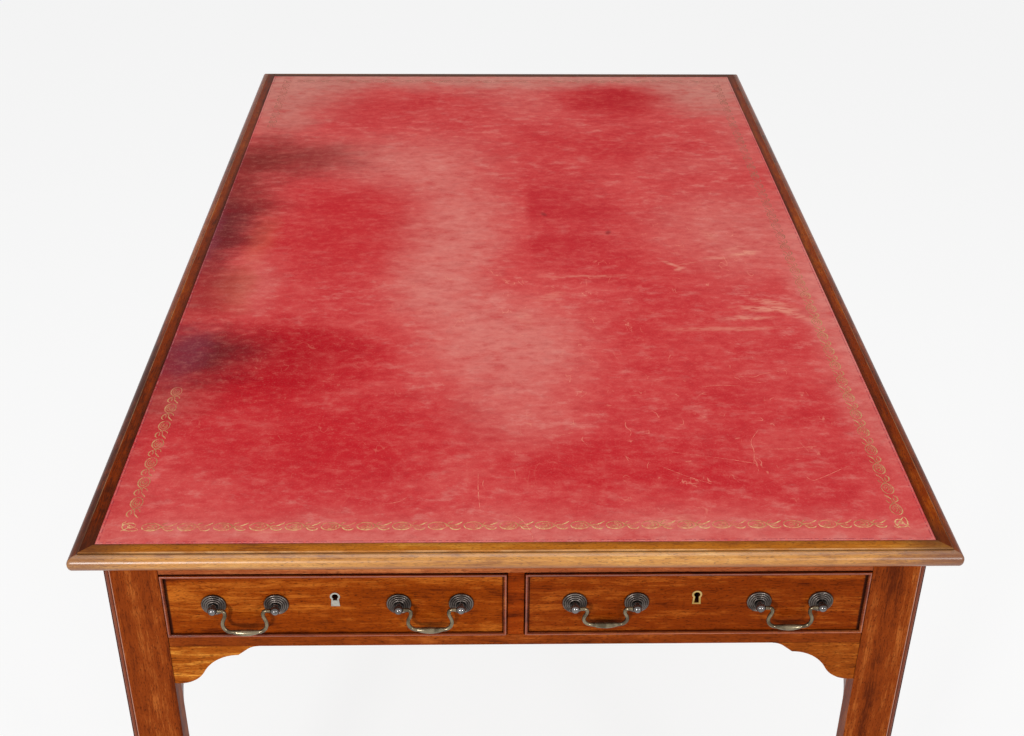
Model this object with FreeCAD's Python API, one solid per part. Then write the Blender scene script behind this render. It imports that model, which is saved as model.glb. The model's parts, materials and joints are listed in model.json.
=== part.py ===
import FreeCAD, Part
import math
import os

# A leather-topped writing table on four square legs, with two drawers in one end.
# Millimetres. The table stands on z = 0, its centre is over the origin,
# the drawer end faces -Y and the long sides face -X and +X.

# Top
top_width = 914.0
top_length = 1474.0
table_height = 762.0
top_thickness = 18.0
moulding_width = 24.0
border_width = 14.0
quirk_depth = 2.0
nose_drop = 9.2
moulding_foot_setback = 4.0
corner_radius = 3.0
tongue_length = 6.0
tongue_thickness = 6.0
leather_thickness = 1.2
leather_gap = 0.3

# Legs
side_overhang = 24.1
end_overhang = 29.0
leg_width = 58.2
leg_mould_width = 7.7
leg_mould_step = 1.6
leg_chamfer = 34.5
chamfer_run_out = 40.0
chamfer_below_bracket = 13.0

# Rails and aprons
apron_height = 127.0
apron_thickness = 22.0
rail_setback = 1.0
top_rail_height = 27.1
top_rail_depth = 24.0
bottom_rail_height = 14.5
bottom_rail_depth = 60.0
muntin_width = 18.0
muntin_shift = -1.0
cross_rail_thickness = 22.0
tenon_length = 25.0
tenon_thickness = 8.0
tenon_shoulder = 6.0
stub_length = 8.0
stub_shoulder = 4.0
housing_depth = 6.0

# Brackets: the outline runs from the leg along a foot, up an ogee to a cusp, up a slope and into a cove
bracket_reach = 95.5
bracket_drop = 53.5
bracket_thickness = 20.0
bracket_foot = 6.0
bracket_knee_reach = 34.0
bracket_knee_drop = 36.5
bracket_cusp_reach = 73.0
bracket_cusp_drop = 12.6
bracket_cove_reach = 83.5
bracket_cove_drop = 4.2

# Runners, kickers and stops
runner_width = 20.0
guide_height = 20.0
guide_gap = 0.5
running_gap = 0.3
kicker_gap = 0.8
runner_tongue_thickness = 6.0
stop_width = 30.0
stop_length = 18.0
stop_height = 4.0
stop_share = 0.27

# Buttons and screws that hold the top
button_length = 40.0
button_depth = 34.0
button_height = 18.0
button_tongue_length = 8.0
button_tongue_thickness = 8.0
side_button_shares = (0.37, 0.79)
rear_button_share = 0.51
screw_head_radius = 4.0
screw_head_height = 3.0
screw_shank_radius = 2.0
screw_length = 28.0
counterbore_radius = 4.6
kicker_screw_front_inset = 120.0
kicker_screw_rear_inset = 110.0
rail_screw_share = 0.775

# Drawers
bead_gap = 0.5
bead_width = 4.0
bead_depth = 9.0
bead_proud = 3.0
drawer_front_thickness = 22.0
drawer_length = 620.0
drawer_rear_room = 76.0
drawer_side_thickness = 9.0
drawer_side_drop = 7.0
drawer_back_thickness = 9.0
drawer_back_drop = 6.5
drawer_bottom_thickness = 6.0
drawer_bottom_rise = 6.0
groove_depth = 4.0
lap_tail_length = 12.0
tail_count = 3
tail_root_share = 0.52
tail_tip_share = 0.72

# Locks and keyholes
lock_width = 50.0
lock_height = 38.0
lock_depth = 9.0
selvedge_width = 62.0
selvedge_thickness = 1.6
bolt_width = 26.0
bolt_thickness = 4.0
bolt_height = 18.0
bolt_throw = 7.0
bolt_gap = 0.2
bolt_mortise_gap = 1.0
keyhole_rise = 11.8
keyhole_radius = 3.4
keyhole_neck = 3.4
keyhole_foot = 5.0
keyhole_drop = 11.0
keyhole_drop_covered = 5.0
keyhole_depth = 6.0
escutcheon_rim = 1.9
escutcheon_neck = 7.4
escutcheon_foot = 9.4
escutcheon_thickness = 2.0
escutcheon_proud = 0.5

# Handles
handle_share = 0.269
handle_shifts = {"left": 2.4, "right": 1.5}
handle_rise = 2.3
handle_pitch = 66.0
rose_radius = 13.0
rose_height = 5.9
rose_rim_height = 1.0
rose_hub_radius = 4.6
rose_ring_count = 4
rose_ring_width = 2.0
rose_ring_rise = 1.6
shank_radius = 2.5
shank_gap = 0.1
post_foot_radius = 4.0
post_neck_radius = 2.9
post_length = 11.0
ball_radius = 5.0
nut_width = 11.0
nut_thickness = 4.0
shank_end = 1.0
pin_radius = 1.5
pin_gap = 0.12
pin_depth = 6.4
pin_end_gap = 0.5
bail_gap = 0.4
bail_radius = 2.1
bail_drop = 26.2
bail_top_bend = 4.0
bail_low_bend = 9.5
bail_neck_spread = 40.0
bail_wide_spread = 46.4
grip_radius = 3.6
grip_dip = 1.1

# How far each bail leans towards its drawer, in degrees from hanging straight; below zero it leans outwards
bail_leans = {"left": (-8.0, -3.0), "right": (10.0, 0.0)}

# Extra length of every cutting shape beyond the face that it cuts
overrun = 2.0

# Places worked out from the sizes above
leg_x = top_width / 2 - side_overhang
leg_y = top_length / 2 - end_overhang
bay_x = leg_x - leg_width
bay_y = leg_y - leg_width
side_face = leg_x - rail_setback
apron_inside = side_face - apron_thickness
front_face = rail_setback - leg_y
rear_face = -front_face
top_rail_back = front_face + top_rail_depth
bottom_rail_back = front_face + bottom_rail_depth
frame_top = table_height - top_thickness
apron_bottom = frame_top - apron_height
opening_bottom = apron_bottom + bottom_rail_height
opening_top = frame_top - top_rail_height
bracket_bottom = apron_bottom - bracket_drop
bead_bottom = opening_bottom + bead_gap
bead_top = opening_top - bead_gap
drawer_inner_face = front_face + drawer_front_thickness
drawer_rear = front_face + drawer_length
cross_rail_front = drawer_rear + drawer_rear_room
cross_rail_back = cross_rail_front + cross_rail_thickness
side_bottom = opening_bottom + running_gap
side_top = bead_top - drawer_side_drop
panel_bottom = side_bottom + drawer_bottom_rise
panel_top = panel_bottom + drawer_bottom_thickness
back_top = side_top - drawer_back_drop
kicker_bottom = side_top + kicker_gap
lock_front = drawer_inner_face - lock_depth
lock_middle = drawer_inner_face - lock_depth / 2
drawer_middle = (bead_bottom + bead_top) / 2
handle_z = drawer_middle + handle_rise
keyhole_z = drawer_middle + keyhole_rise
post_axis_y = front_face - post_length
screw_bottom = frame_top - button_height
side_button_places = [
    cross_rail_back + (bay_y - cross_rail_back) * share for share in side_button_shares
]
rear_button_offset = bay_x * rear_button_share
rail_screw_offset = bay_x * rail_screw_share
drawer_spans = {
    "left": (-bay_x, muntin_shift - muntin_width / 2),
    "right": (muntin_shift + muntin_width / 2, bay_x),
}

origin = FreeCAD.Vector(0, 0, 0)
x_axis = FreeCAD.Vector(1, 0, 0)
y_axis = FreeCAD.Vector(0, 1, 0)
z_axis = FreeCAD.Vector(0, 0, 1)


def vec(x, y, z):
    return FreeCAD.Vector(x, y, z)


def block(x_pair, y_pair, z_pair):
    """A rectangular block between two values along each axis."""
    x_low, x_high = sorted(x_pair)
    y_low, y_high = sorted(y_pair)
    z_low, z_high = sorted(z_pair)
    return Part.makeBox(x_high - x_low, y_high - y_low, z_high - z_low, vec(x_low, y_low, z_low))


def fuse(shapes):
    """One solid from pieces that touch or overlap."""
    first, *rest = shapes
    return first.multiFuse(rest).removeSplitter() if rest else first


def group(shapes):
    return Part.makeCompound(shapes)


def across(shape):
    """The same shape on the other side of the table's long centre plane."""
    return shape.mirror(origin, x_axis)


def end_to_end(shape):
    """The same shape at the other end of the table."""
    return shape.mirror(origin, y_axis)


def turned(shape, degrees, axis=z_axis):
    copy = shape.copy()
    copy.rotate(origin, axis, degrees)
    return copy


def moved(shape, x, y, z):
    copy = shape.copy()
    copy.translate(vec(x, y, z))
    return copy


def line(start, end):
    return Part.LineSegment(start, end).toShape()


def arc(start, middle, end):
    return Part.Arc(start, middle, end).toShape()


def tangent_arc(start, heading, end):
    """An arc that leaves start along heading and comes to end."""
    chord = end - start
    along = heading.normalize()
    side = chord - along * chord.dot(along)
    side.normalize()
    radius = chord.dot(chord) / (2 * chord.dot(side))
    centre = start + side * radius
    middle = start + end - centre * 2
    middle.normalize()
    return arc(start, centre + middle * radius, end)


def prism(edges, path):
    return Part.Face(Part.Wire(edges)).extrude(path)


def polygon(points):
    return Part.makePolygon(points + points[:1])


def mitre_prism(run, reach, width, low, high):
    """A strip's plan with 45 degree ends, its long edge at y = -reach."""
    corners = [
        vec(-run / 2, -reach, low),
        vec(run / 2, -reach, low),
        vec(run / 2 - width, width - reach, low),
        vec(width - run / 2, width - reach, low),
    ]
    return Part.Face(polygon(corners)).extrude(z_axis * (high - low))


# Top

def make_top_panel():
    half_x = top_width / 2 - moulding_width
    half_y = top_length / 2 - moulding_width
    body = block((-half_x, half_x), (-half_y, half_y), (frame_top, table_height - leather_thickness))
    tongue_low = frame_top + (top_thickness - tongue_thickness) / 2
    tongue_x = half_x + tongue_length
    tongue_y = half_y + tongue_length
    tongue_high = tongue_low + tongue_thickness
    tongue = block((-tongue_x, tongue_x), (-tongue_y, tongue_y), (tongue_low, tongue_high))
    return fuse([body, tongue])


def make_leather():
    half_x = top_width / 2 - moulding_width - leather_gap
    half_y = top_length / 2 - moulding_width - leather_gap
    return block((-half_x, half_x), (-half_y, half_y), (table_height - leather_thickness, table_height))


def make_moulding(run, reach):
    """A length of edge moulding along X with mitred ends, its nose at y = -reach."""
    start = -run / 2
    thumb_width = moulding_width - border_width
    inner_y = moulding_width - reach
    inner_top = vec(start, inner_y, table_height)
    arris = vec(start, thumb_width - reach, table_height)
    quirk = vec(start, thumb_width - reach, table_height - quirk_depth)
    nose = vec(start, -reach, table_height - nose_drop)
    foot = vec(start, moulding_foot_setback - reach, frame_top)
    inner_foot = vec(start, inner_y, frame_top)
    edges = [
        line(inner_top, arris),
        line(arris, quirk),
        tangent_arc(nose, vec(0, 0, 1), quirk),
        tangent_arc(nose, vec(0, 0, -1), foot),
        line(foot, inner_foot),
        line(inner_foot, inner_top),
    ]
    strip = prism(Part.__sortEdges__(edges), x_axis * run)
    plan = mitre_prism(run, reach, moulding_width, frame_top - overrun, table_height + overrun)
    return strip.common(plan)


def make_corner_rounding():
    """The plan of the whole top, with its corners eased."""
    half_x = top_width / 2
    half_y = top_length / 2
    slab = block((-half_x, half_x), (-half_y, half_y), (frame_top - overrun, table_height + overrun))
    upright = [edge for edge in slab.Edges if edge.BoundBox.ZLength > edge.BoundBox.DiagonalLength / 2]
    return slab.makeFillet(corner_radius, upright)


# Legs, rails and aprons

def make_leg_blank():
    """A leg whose outer corner stands at the origin, with its inside towards +X and +Y."""
    ring = leg_mould_width - leg_mould_step
    quarter = leg_mould_width - ring * math.sqrt(0.5)
    front_step = vec(leg_mould_width, leg_mould_step, 0)
    side_step = vec(leg_mould_step, leg_mould_width, 0)
    edges = [
        line(vec(leg_width, 0, 0), vec(leg_mould_width, 0, 0)),
        line(vec(leg_mould_width, 0, 0), front_step),
        arc(front_step, vec(quarter, quarter, 0), side_step),
        line(side_step, vec(0, leg_mould_width, 0)),
        line(vec(0, leg_mould_width, 0), vec(0, leg_width, 0)),
        line(vec(0, leg_width, 0), vec(leg_width, leg_width, 0)),
        line(vec(leg_width, leg_width, 0), vec(leg_width, 0, 0)),
    ]
    return prism(edges, z_axis * frame_top).cut(make_chamfer_cutter())


def make_chamfer_cutter():
    """The wedge cut from the inner corner of a leg, with its curved run-out under the bracket."""
    depth = leg_chamfer * math.sqrt(0.5)
    run_out_top = bracket_bottom - chamfer_below_bracket
    full_top = run_out_top - chamfer_run_out
    half_length = leg_chamfer + overrun
    deep_low = vec(-depth, -half_length, -overrun)
    deep_high = vec(-depth, -half_length, full_top)
    edge_high = vec(0, -half_length, run_out_top)
    out_high = vec(overrun, -half_length, run_out_top)
    out_low = vec(overrun, -half_length, -overrun)
    edges = [
        line(out_low, deep_low),
        line(deep_low, deep_high),
        tangent_arc(deep_high, vec(0, 0, 1), edge_high),
        line(edge_high, out_high),
        line(out_high, out_low),
    ]
    wedge = prism(edges, y_axis * (2 * half_length))
    return moved(turned(wedge, 45), leg_width, leg_width, 0)


def make_front_top_rail():
    rail = block((-bay_x, bay_x), (front_face, top_rail_back), (opening_top, frame_top))
    tenon_y = front_face + (top_rail_depth - tenon_thickness) / 2
    reach = bay_x + tenon_length
    tenons = block(
        (-reach, reach),
        (tenon_y, tenon_y + tenon_thickness),
        (opening_top + tenon_shoulder, frame_top - tenon_shoulder),
    )
    return fuse([rail, tenons])


def make_front_bottom_rail():
    rail = block((-bay_x, bay_x), (front_face, bottom_rail_back), (apron_bottom, opening_bottom))
    tenon_z = apron_bottom + (bottom_rail_height - tenon_thickness) / 2
    tenon_back = min(bottom_rail_back, -bay_y) - tenon_shoulder
    reach = bay_x + tenon_length
    tenons = block(
        (-reach, reach),
        (front_face + tenon_shoulder, tenon_back),
        (tenon_z, tenon_z + tenon_thickness),
    )
    return fuse([rail, tenons])


def make_front_muntin():
    half = muntin_width / 2
    body = block((-half, half), (front_face, top_rail_back), (opening_bottom, opening_top))
    stub_y = front_face + (top_rail_depth - tenon_thickness) / 2
    stub_half = half - stub_shoulder
    stubs = block(
        (-stub_half, stub_half),
        (stub_y, stub_y + tenon_thickness),
        (opening_bottom - stub_length, opening_top + stub_length),
    )
    return moved(fuse([body, stubs]), muntin_shift, 0, 0)


def make_left_apron():
    board = block((-side_face, -apron_inside), (-bay_y, bay_y), (apron_bottom, frame_top))
    tenon_x = -side_face + (apron_thickness - tenon_thickness) / 2
    reach = bay_y + tenon_length
    tenons = block(
        (tenon_x, tenon_x + tenon_thickness),
        (-reach, reach),
        (apron_bottom + tenon_shoulder, frame_top - tenon_shoulder),
    )
    return fuse([board, tenons])


def make_rear_apron():
    board = block((-bay_x, bay_x), (rear_face - apron_thickness, rear_face), (apron_bottom, frame_top))
    tenon_y = rear_face - (apron_thickness + tenon_thickness) / 2
    reach = bay_x + tenon_length
    tenons = block(
        (-reach, reach),
        (tenon_y, tenon_y + tenon_thickness),
        (apron_bottom + tenon_shoulder, frame_top - tenon_shoulder),
    )
    return fuse([board, tenons])


def make_cross_rail():
    reach = apron_inside + housing_depth
    return block((-reach, reach), (cross_rail_front, cross_rail_back), (apron_bottom, frame_top))


def make_bracket():
    """A bracket with its leg end at x = 0, its top at z = 0 and its face at y = 0."""
    top_inner = vec(0, 0, 0)
    tip = vec(bracket_reach, 0, 0)
    cove_end = vec(bracket_cove_reach, 0, -bracket_cove_drop)
    cusp = vec(bracket_cusp_reach, 0, -bracket_cusp_drop)
    knee = vec(bracket_knee_reach, 0, -bracket_knee_drop)
    foot_end = vec(bracket_foot, 0, -bracket_drop)
    heel = vec(0, 0, -bracket_drop)
    edges = [
        line(top_inner, tip),
        tangent_arc(tip, vec(-1, 0, 0), cove_end),
        line(cove_end, cusp),
        tangent_arc(cusp, vec(-1, 0, 0), knee),
        tangent_arc(foot_end, vec(1, 0, 0), knee),
        line(foot_end, heel),
        line(heel, top_inner),
    ]
    return prism(Part.__sortEdges__(edges), y_axis * bracket_thickness)


# Drawer supports

def make_runner_left():
    bearing = block(
        (-bay_x, runner_width - bay_x),
        (bottom_rail_back, cross_rail_front + housing_depth),
        (apron_bottom, opening_bottom),
    )
    tongue_z = apron_bottom + (bottom_rail_height - runner_tongue_thickness) / 2
    tongue = block(
        (-bay_x, runner_width - bay_x),
        (bottom_rail_back - housing_depth, bottom_rail_back),
        (tongue_z, tongue_z + runner_tongue_thickness),
    )
    ledge = block(
        (-apron_inside, -bay_x),
        (-bay_y, cross_rail_front + housing_depth),
        (apron_bottom, opening_bottom),
    )
    guide_x = -bay_x + bead_gap - guide_gap
    guide = block(
        (-apron_inside, guide_x),
        (-bay_y, cross_rail_front),
        (opening_bottom, opening_bottom + guide_height),
    )
    return fuse([bearing, tongue, ledge, guide])


def make_runner_centre():
    half = muntin_width / 2 + runner_width
    bearing = block(
        (-half, half),
        (bottom_rail_back, cross_rail_front + housing_depth),
        (apron_bottom, opening_bottom),
    )
    tongue_z = apron_bottom + (bottom_rail_height - runner_tongue_thickness) / 2
    tongue = block(
        (-half, half),
        (bottom_rail_back - housing_depth, bottom_rail_back),
        (tongue_z, tongue_z + runner_tongue_thickness),
    )
    guide_half = muntin_width / 2 + bead_gap - guide_gap
    guide = block(
        (-guide_half, guide_half),
        (top_rail_back, cross_rail_front),
        (opening_bottom, opening_bottom + guide_height),
    )
    return moved(fuse([bearing, tongue, guide]), muntin_shift, 0, 0)


def make_kickers():
    inner = block(
        (-bay_x, runner_width - bay_x),
        (top_rail_back, cross_rail_front + housing_depth),
        (kicker_bottom, frame_top),
    )
    outer = block(
        (-apron_inside, -bay_x),
        (-bay_y, cross_rail_front + housing_depth),
        (kicker_bottom, frame_top),
    )
    left = fuse([inner, outer])
    half = muntin_width / 2 + runner_width
    centre = block(
        (-half, half),
        (top_rail_back, cross_rail_front + housing_depth),
        (kicker_bottom, frame_top),
    )
    return [left, moved(centre, muntin_shift, 0, 0), across(left)]


def make_stops():
    stops = []
    start = drawer_inner_face + running_gap
    for low, high in drawer_spans.values():
        middle = (low + high) / 2
        spread = (high - low) * stop_share
        for offset in (-spread, spread):
            stops.append(block(
                (middle + offset - stop_width / 2, middle + offset + stop_width / 2),
                (start, start + stop_length),
                (opening_bottom, opening_bottom + stop_height),
            ))
    return stops


def make_button():
    """A button against an apron whose inner face is at y = 0, with its middle at x = 0."""
    half = button_length / 2
    body = block((-half, half), (0, button_depth), (screw_bottom, frame_top))
    tongue = block(
        (-half, half),
        (-button_tongue_length, 0),
        (screw_bottom, screw_bottom + button_tongue_thickness),
    )
    return fuse([body, tongue])


def make_buttons():
    button = make_button()
    buttons = []
    for place in side_button_places:
        left = moved(turned(button, -90), -apron_inside, place, 0)
        buttons.extend([left, across(left)])
    for offset in (-rear_button_offset, rear_button_offset):
        buttons.append(moved(turned(button, 180), offset, rear_face - apron_thickness, 0))
    return buttons


def screw_places():
    """Plan positions of the screws: buttons, then kickers and top rail."""
    side_x = apron_inside - button_depth / 2
    in_buttons = []
    for place in side_button_places:
        in_buttons.extend([(-side_x, place), (side_x, place)])
    rear_y = rear_face - apron_thickness - button_depth / 2
    in_buttons.extend([(-rear_button_offset, rear_y), (rear_button_offset, rear_y)])
    kicker_x = (apron_inside + bay_x - runner_width) / 2
    in_bored = []
    for x in (-kicker_x, muntin_shift, kicker_x):
        in_bored.append((x, kicker_screw_front_inset - bay_y))
        in_bored.append((x, cross_rail_front - kicker_screw_rear_inset))
    rail_y = front_face + top_rail_depth / 2
    in_bored.extend([(-rail_screw_offset, rail_y), (rail_screw_offset, rail_y)])
    return in_buttons, in_bored


def make_screw(x, y):
    head = Part.makeCone(screw_head_radius, screw_shank_radius, screw_head_height, vec(x, y, screw_bottom))
    shank = Part.makeCylinder(screw_shank_radius, screw_length, vec(x, y, screw_bottom))
    return fuse([head, shank])


def make_counterbore(x, y):
    depth = screw_bottom - opening_bottom
    return Part.makeCylinder(counterbore_radius, depth, vec(x, y, opening_bottom))


# Drawers

def make_bead_strip(run, reach):
    """A strip of cock bead along X with mitred ends, its outer edge at y = -reach."""
    nose = bead_width / 2
    shoulder = bead_depth + bead_proud - nose
    start = -run / 2
    outer_low = vec(start, -reach, 0)
    outer_high = vec(start, -reach, shoulder)
    crown = vec(start, nose - reach, shoulder + nose)
    inner_high = vec(start, bead_width - reach, shoulder)
    inner_low = vec(start, bead_width - reach, 0)
    edges = [
        line(outer_low, outer_high),
        arc(outer_high, crown, inner_high),
        line(inner_high, inner_low),
        line(inner_low, outer_low),
    ]
    strip = prism(edges, x_axis * run)
    plan = mitre_prism(run, reach, bead_width, -overrun, bead_depth + bead_proud + overrun)
    return strip.common(plan)


def make_cock_bead(low_x, high_x):
    """Four strips round a drawer front."""
    width = high_x - low_x
    height = bead_top - bead_bottom
    strips = []
    for turn in (0, 90, 180, 270):
        upright = turn in (90, 270)
        run = height if upright else width
        reach = (width if upright else height) / 2
        flat = turned(make_bead_strip(run, reach), turn)
        standing = turned(flat, 90, x_axis)
        strips.append(moved(standing, (low_x + high_x) / 2, front_face + bead_depth, drawer_middle))
    return strips


def make_front_blank(low_x, high_x):
    behind = block((low_x, high_x), (front_face + bead_depth, drawer_inner_face), (bead_bottom, bead_top))
    face = block(
        (low_x + bead_width, high_x - bead_width),
        (front_face, front_face + bead_depth),
        (bead_bottom + bead_width, bead_top - bead_width),
    )
    return fuse([behind, face])


def make_tails(x_pair, root_y, tip_y, z_pair):
    """Dovetails that widen from root to tip, spread evenly between two heights."""
    low, high = z_pair
    pitch = (high - low) / tail_count
    root_half = pitch * tail_root_share / 2
    tip_half = pitch * tail_tip_share / 2
    tails = []
    for index in range(tail_count):
        middle = low + pitch * (index + 0.5)
        corners = [
            vec(x_pair[0], root_y, middle - root_half),
            vec(x_pair[0], tip_y, middle - tip_half),
            vec(x_pair[0], tip_y, middle + tip_half),
            vec(x_pair[0], root_y, middle + root_half),
        ]
        tails.append(Part.Face(polygon(corners)).extrude(x_axis * (x_pair[1] - x_pair[0])))
    return tails


def make_side_blank(x_pair):
    """A drawer side with lapped tails at the front and through tails at the back."""
    back_start = drawer_rear - drawer_back_thickness
    board = block(x_pair, (drawer_inner_face, back_start), (side_bottom, side_top))
    lower = block(x_pair, (back_start, drawer_rear), (side_bottom, panel_top))
    upper = block(x_pair, (back_start, drawer_rear), (back_top, side_top))
    tail_end = drawer_inner_face - lap_tail_length
    front_tails = make_tails(x_pair, drawer_inner_face, tail_end, (side_bottom, side_top))
    rear_tails = make_tails(x_pair, back_start, drawer_rear, (panel_top, back_top))
    return fuse([board, lower, upper] + front_tails + rear_tails)


def make_drawer_bottom(low_x, high_x):
    inset = drawer_side_thickness - groove_depth
    return block(
        (low_x + inset, high_x - inset),
        (drawer_inner_face - groove_depth, drawer_rear),
        (panel_bottom, panel_top),
    )


def make_lock_blank(middle):
    case = block(
        (middle - lock_width / 2, middle + lock_width / 2),
        (lock_front, drawer_inner_face),
        (bead_top - lock_height, bead_top),
    )
    selvedge = block(
        (middle - selvedge_width / 2, middle + selvedge_width / 2),
        (lock_front, drawer_inner_face),
        (bead_top - selvedge_thickness, bead_top),
    )
    return fuse([case, selvedge])


def make_bolt(middle, gap=0, rise=0):
    """The lock bolt, or the space round it and above it."""
    half = bolt_width / 2 + gap
    half_y = bolt_thickness / 2 + gap
    return block(
        (middle - half, middle + half),
        (lock_middle - half_y, lock_middle + half_y),
        (bead_top - bolt_height - gap, bead_top + rise),
    )


def make_key_shape(middle, radius, neck, foot, drop, y_pair):
    """A round head above a flared foot, run through from one depth to another."""
    start, end = y_pair
    length = end - start
    head = Part.makeCylinder(radius, length, vec(middle, start, keyhole_z), y_axis)
    corners = [
        vec(middle - neck / 2, start, keyhole_z),
        vec(middle - foot / 2, start, keyhole_z - drop),
        vec(middle + foot / 2, start, keyhole_z - drop),
        vec(middle + neck / 2, start, keyhole_z),
    ]
    flare = Part.Face(polygon(corners)).extrude(y_axis * length)
    return fuse([head, flare])


def make_escutcheon_blank(middle):
    return make_key_shape(
        middle,
        keyhole_radius + escutcheon_rim,
        escutcheon_neck,
        escutcheon_foot,
        keyhole_drop + escutcheon_rim,
        (front_face - escutcheon_proud, front_face - escutcheon_proud + escutcheon_thickness),
    )


# Handles, made with the post's axis along -Y from the drawer face at y = 0

def make_rose():
    """A turned rose: a rim and rings that climb to a hub."""
    edges = []
    here = vec(rose_radius, -rose_rim_height, 0)
    edges.append(line(vec(0, 0, 0), vec(rose_radius, 0, 0)))
    edges.append(line(vec(rose_radius, 0, 0), here))
    for index in range(rose_ring_count):
        inner_x = here.x - rose_ring_width
        crest = vec(here.x - rose_ring_width / 2, here.y - rose_ring_rise, 0)
        there = vec(inner_x, here.y - rose_ring_rise / 2, 0)
        edges.append(arc(here, crest, there))
        here = there
    hub_foot = vec(rose_hub_radius, here.y, 0)
    hub_top = vec(rose_hub_radius, -rose_height, 0)
    edges.append(line(here, hub_foot))
    edges.append(line(hub_foot, hub_top))
    edges.append(line(hub_top, vec(0, -rose_height, 0)))
    edges.append(line(vec(0, -rose_height, 0), vec(0, 0, 0)))
    turned_rose = Part.Face(Part.Wire(edges)).revolve(origin, y_axis, 360)
    hole = Part.makeCylinder(
        shank_radius + shank_gap, rose_height + 2 * overrun, vec(0, overrun, 0), -y_axis
    )
    return turned_rose.cut(hole)


def make_post():
    """A post with its ball, bored on its +X side for the bail's pin."""
    back = drawer_front_thickness + nut_thickness + shank_end
    shank = Part.makeCylinder(shank_radius, back + rose_height, vec(0, back, 0), -y_axis)
    neck = Part.makeCone(
        post_foot_radius, post_neck_radius, post_length - rose_height, vec(0, -rose_height, 0), -y_axis
    )
    ball = Part.makeSphere(ball_radius, vec(0, -post_length, 0))
    bore_start = ball_radius + bail_gap - pin_depth - pin_end_gap
    bore = Part.makeCylinder(
        pin_radius + pin_gap, ball_radius + overrun, vec(bore_start, -post_length, 0), x_axis
    )
    return fuse([shank, neck, ball]).cut(bore)


def make_nut():
    half = nut_width / 2
    back = drawer_front_thickness
    body = block((-half, half), (back, back + nut_thickness), (-half, half))
    hole = Part.makeCylinder(
        shank_radius + shank_gap, nut_thickness + 2 * overrun, vec(0, back - overrun, 0), y_axis
    )
    return body.cut(hole)


def make_bail_half():
    """The +X half of a swan-neck bail, from the grip's end to the pin, hung from z = 0."""
    neck = bail_neck_spread / 2
    wide = bail_wide_spread / 2
    swing = wide - neck
    fall = bail_drop - bail_top_bend - bail_low_bend
    radius = (swing * swing + fall * fall) / (4 * swing)
    stub = handle_pitch / 2 - ball_radius - bail_gap
    grip_end = vec(wide - bail_low_bend, 0, -bail_drop)
    low = vec(wide, 0, -bail_top_bend - fall)
    turn = vec((neck + wide) / 2, 0, -bail_top_bend - fall / 2)
    high = vec(neck, 0, -bail_top_bend)
    stub_inner = vec(neck + bail_top_bend, 0, 0)
    stub_outer = vec(stub, 0, 0)
    path = Part.Wire([
        tangent_arc(grip_end, vec(1, 0, 0), low),
        tangent_arc(low, vec(0, 0, 1), turn),
        tangent_arc(high, vec(0, 0, -1), turn),
        tangent_arc(high, vec(0, 0, 1), stub_inner),
        line(stub_inner, stub_outer),
    ])
    section = Part.Wire(Part.makeCircle(bail_radius, grip_end, x_axis))
    rod = path.makePipeShell([section], True, True)
    pin = Part.makeCylinder(pin_radius, pin_depth, stub_outer, x_axis)
    return fuse([rod, pin])


def make_grip():
    """The thick bar between the two halves of a bail, which dips in its middle."""
    half = bail_wide_spread / 2 - bail_low_bend
    sections = [
        Part.makeCircle(bail_radius, vec(-half, 0, -bail_drop), x_axis),
        Part.makeCircle(grip_radius, vec(0, 0, -bail_drop - grip_dip), x_axis),
        Part.makeCircle(bail_radius, vec(half, 0, -bail_drop), x_axis),
    ]
    return Part.makeLoft([Part.Wire(circle) for circle in sections], True)


def make_bail():
    half = make_bail_half()
    return fuse([half, make_grip(), turned(half, 180)])


def make_handles(low_x, high_x, shift, leans):
    """The roses, posts, nuts and two bails of one drawer."""
    middle = (low_x + high_x) / 2 + shift
    spread = (high_x - low_x) * handle_share
    post = make_post()
    post_pair = {-1: post, 1: turned(post, 180, y_axis)}
    roses, posts, nuts = [], [], []
    bails = []
    for handle_side, lean in zip((-1, 1), leans):
        handle_x = middle + handle_side * spread
        for post_side in (-1, 1):
            x = handle_x + post_side * handle_pitch / 2
            roses.append(moved(make_rose(), x, front_face, handle_z))
            posts.append(moved(post_pair[post_side], x, front_face, handle_z))
            nuts.append(moved(make_nut(), x, front_face, handle_z))
        bails.append(moved(turned(make_bail(), lean, x_axis), handle_x, post_axis_y, handle_z))
    return roses, posts, nuts, bails


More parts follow.
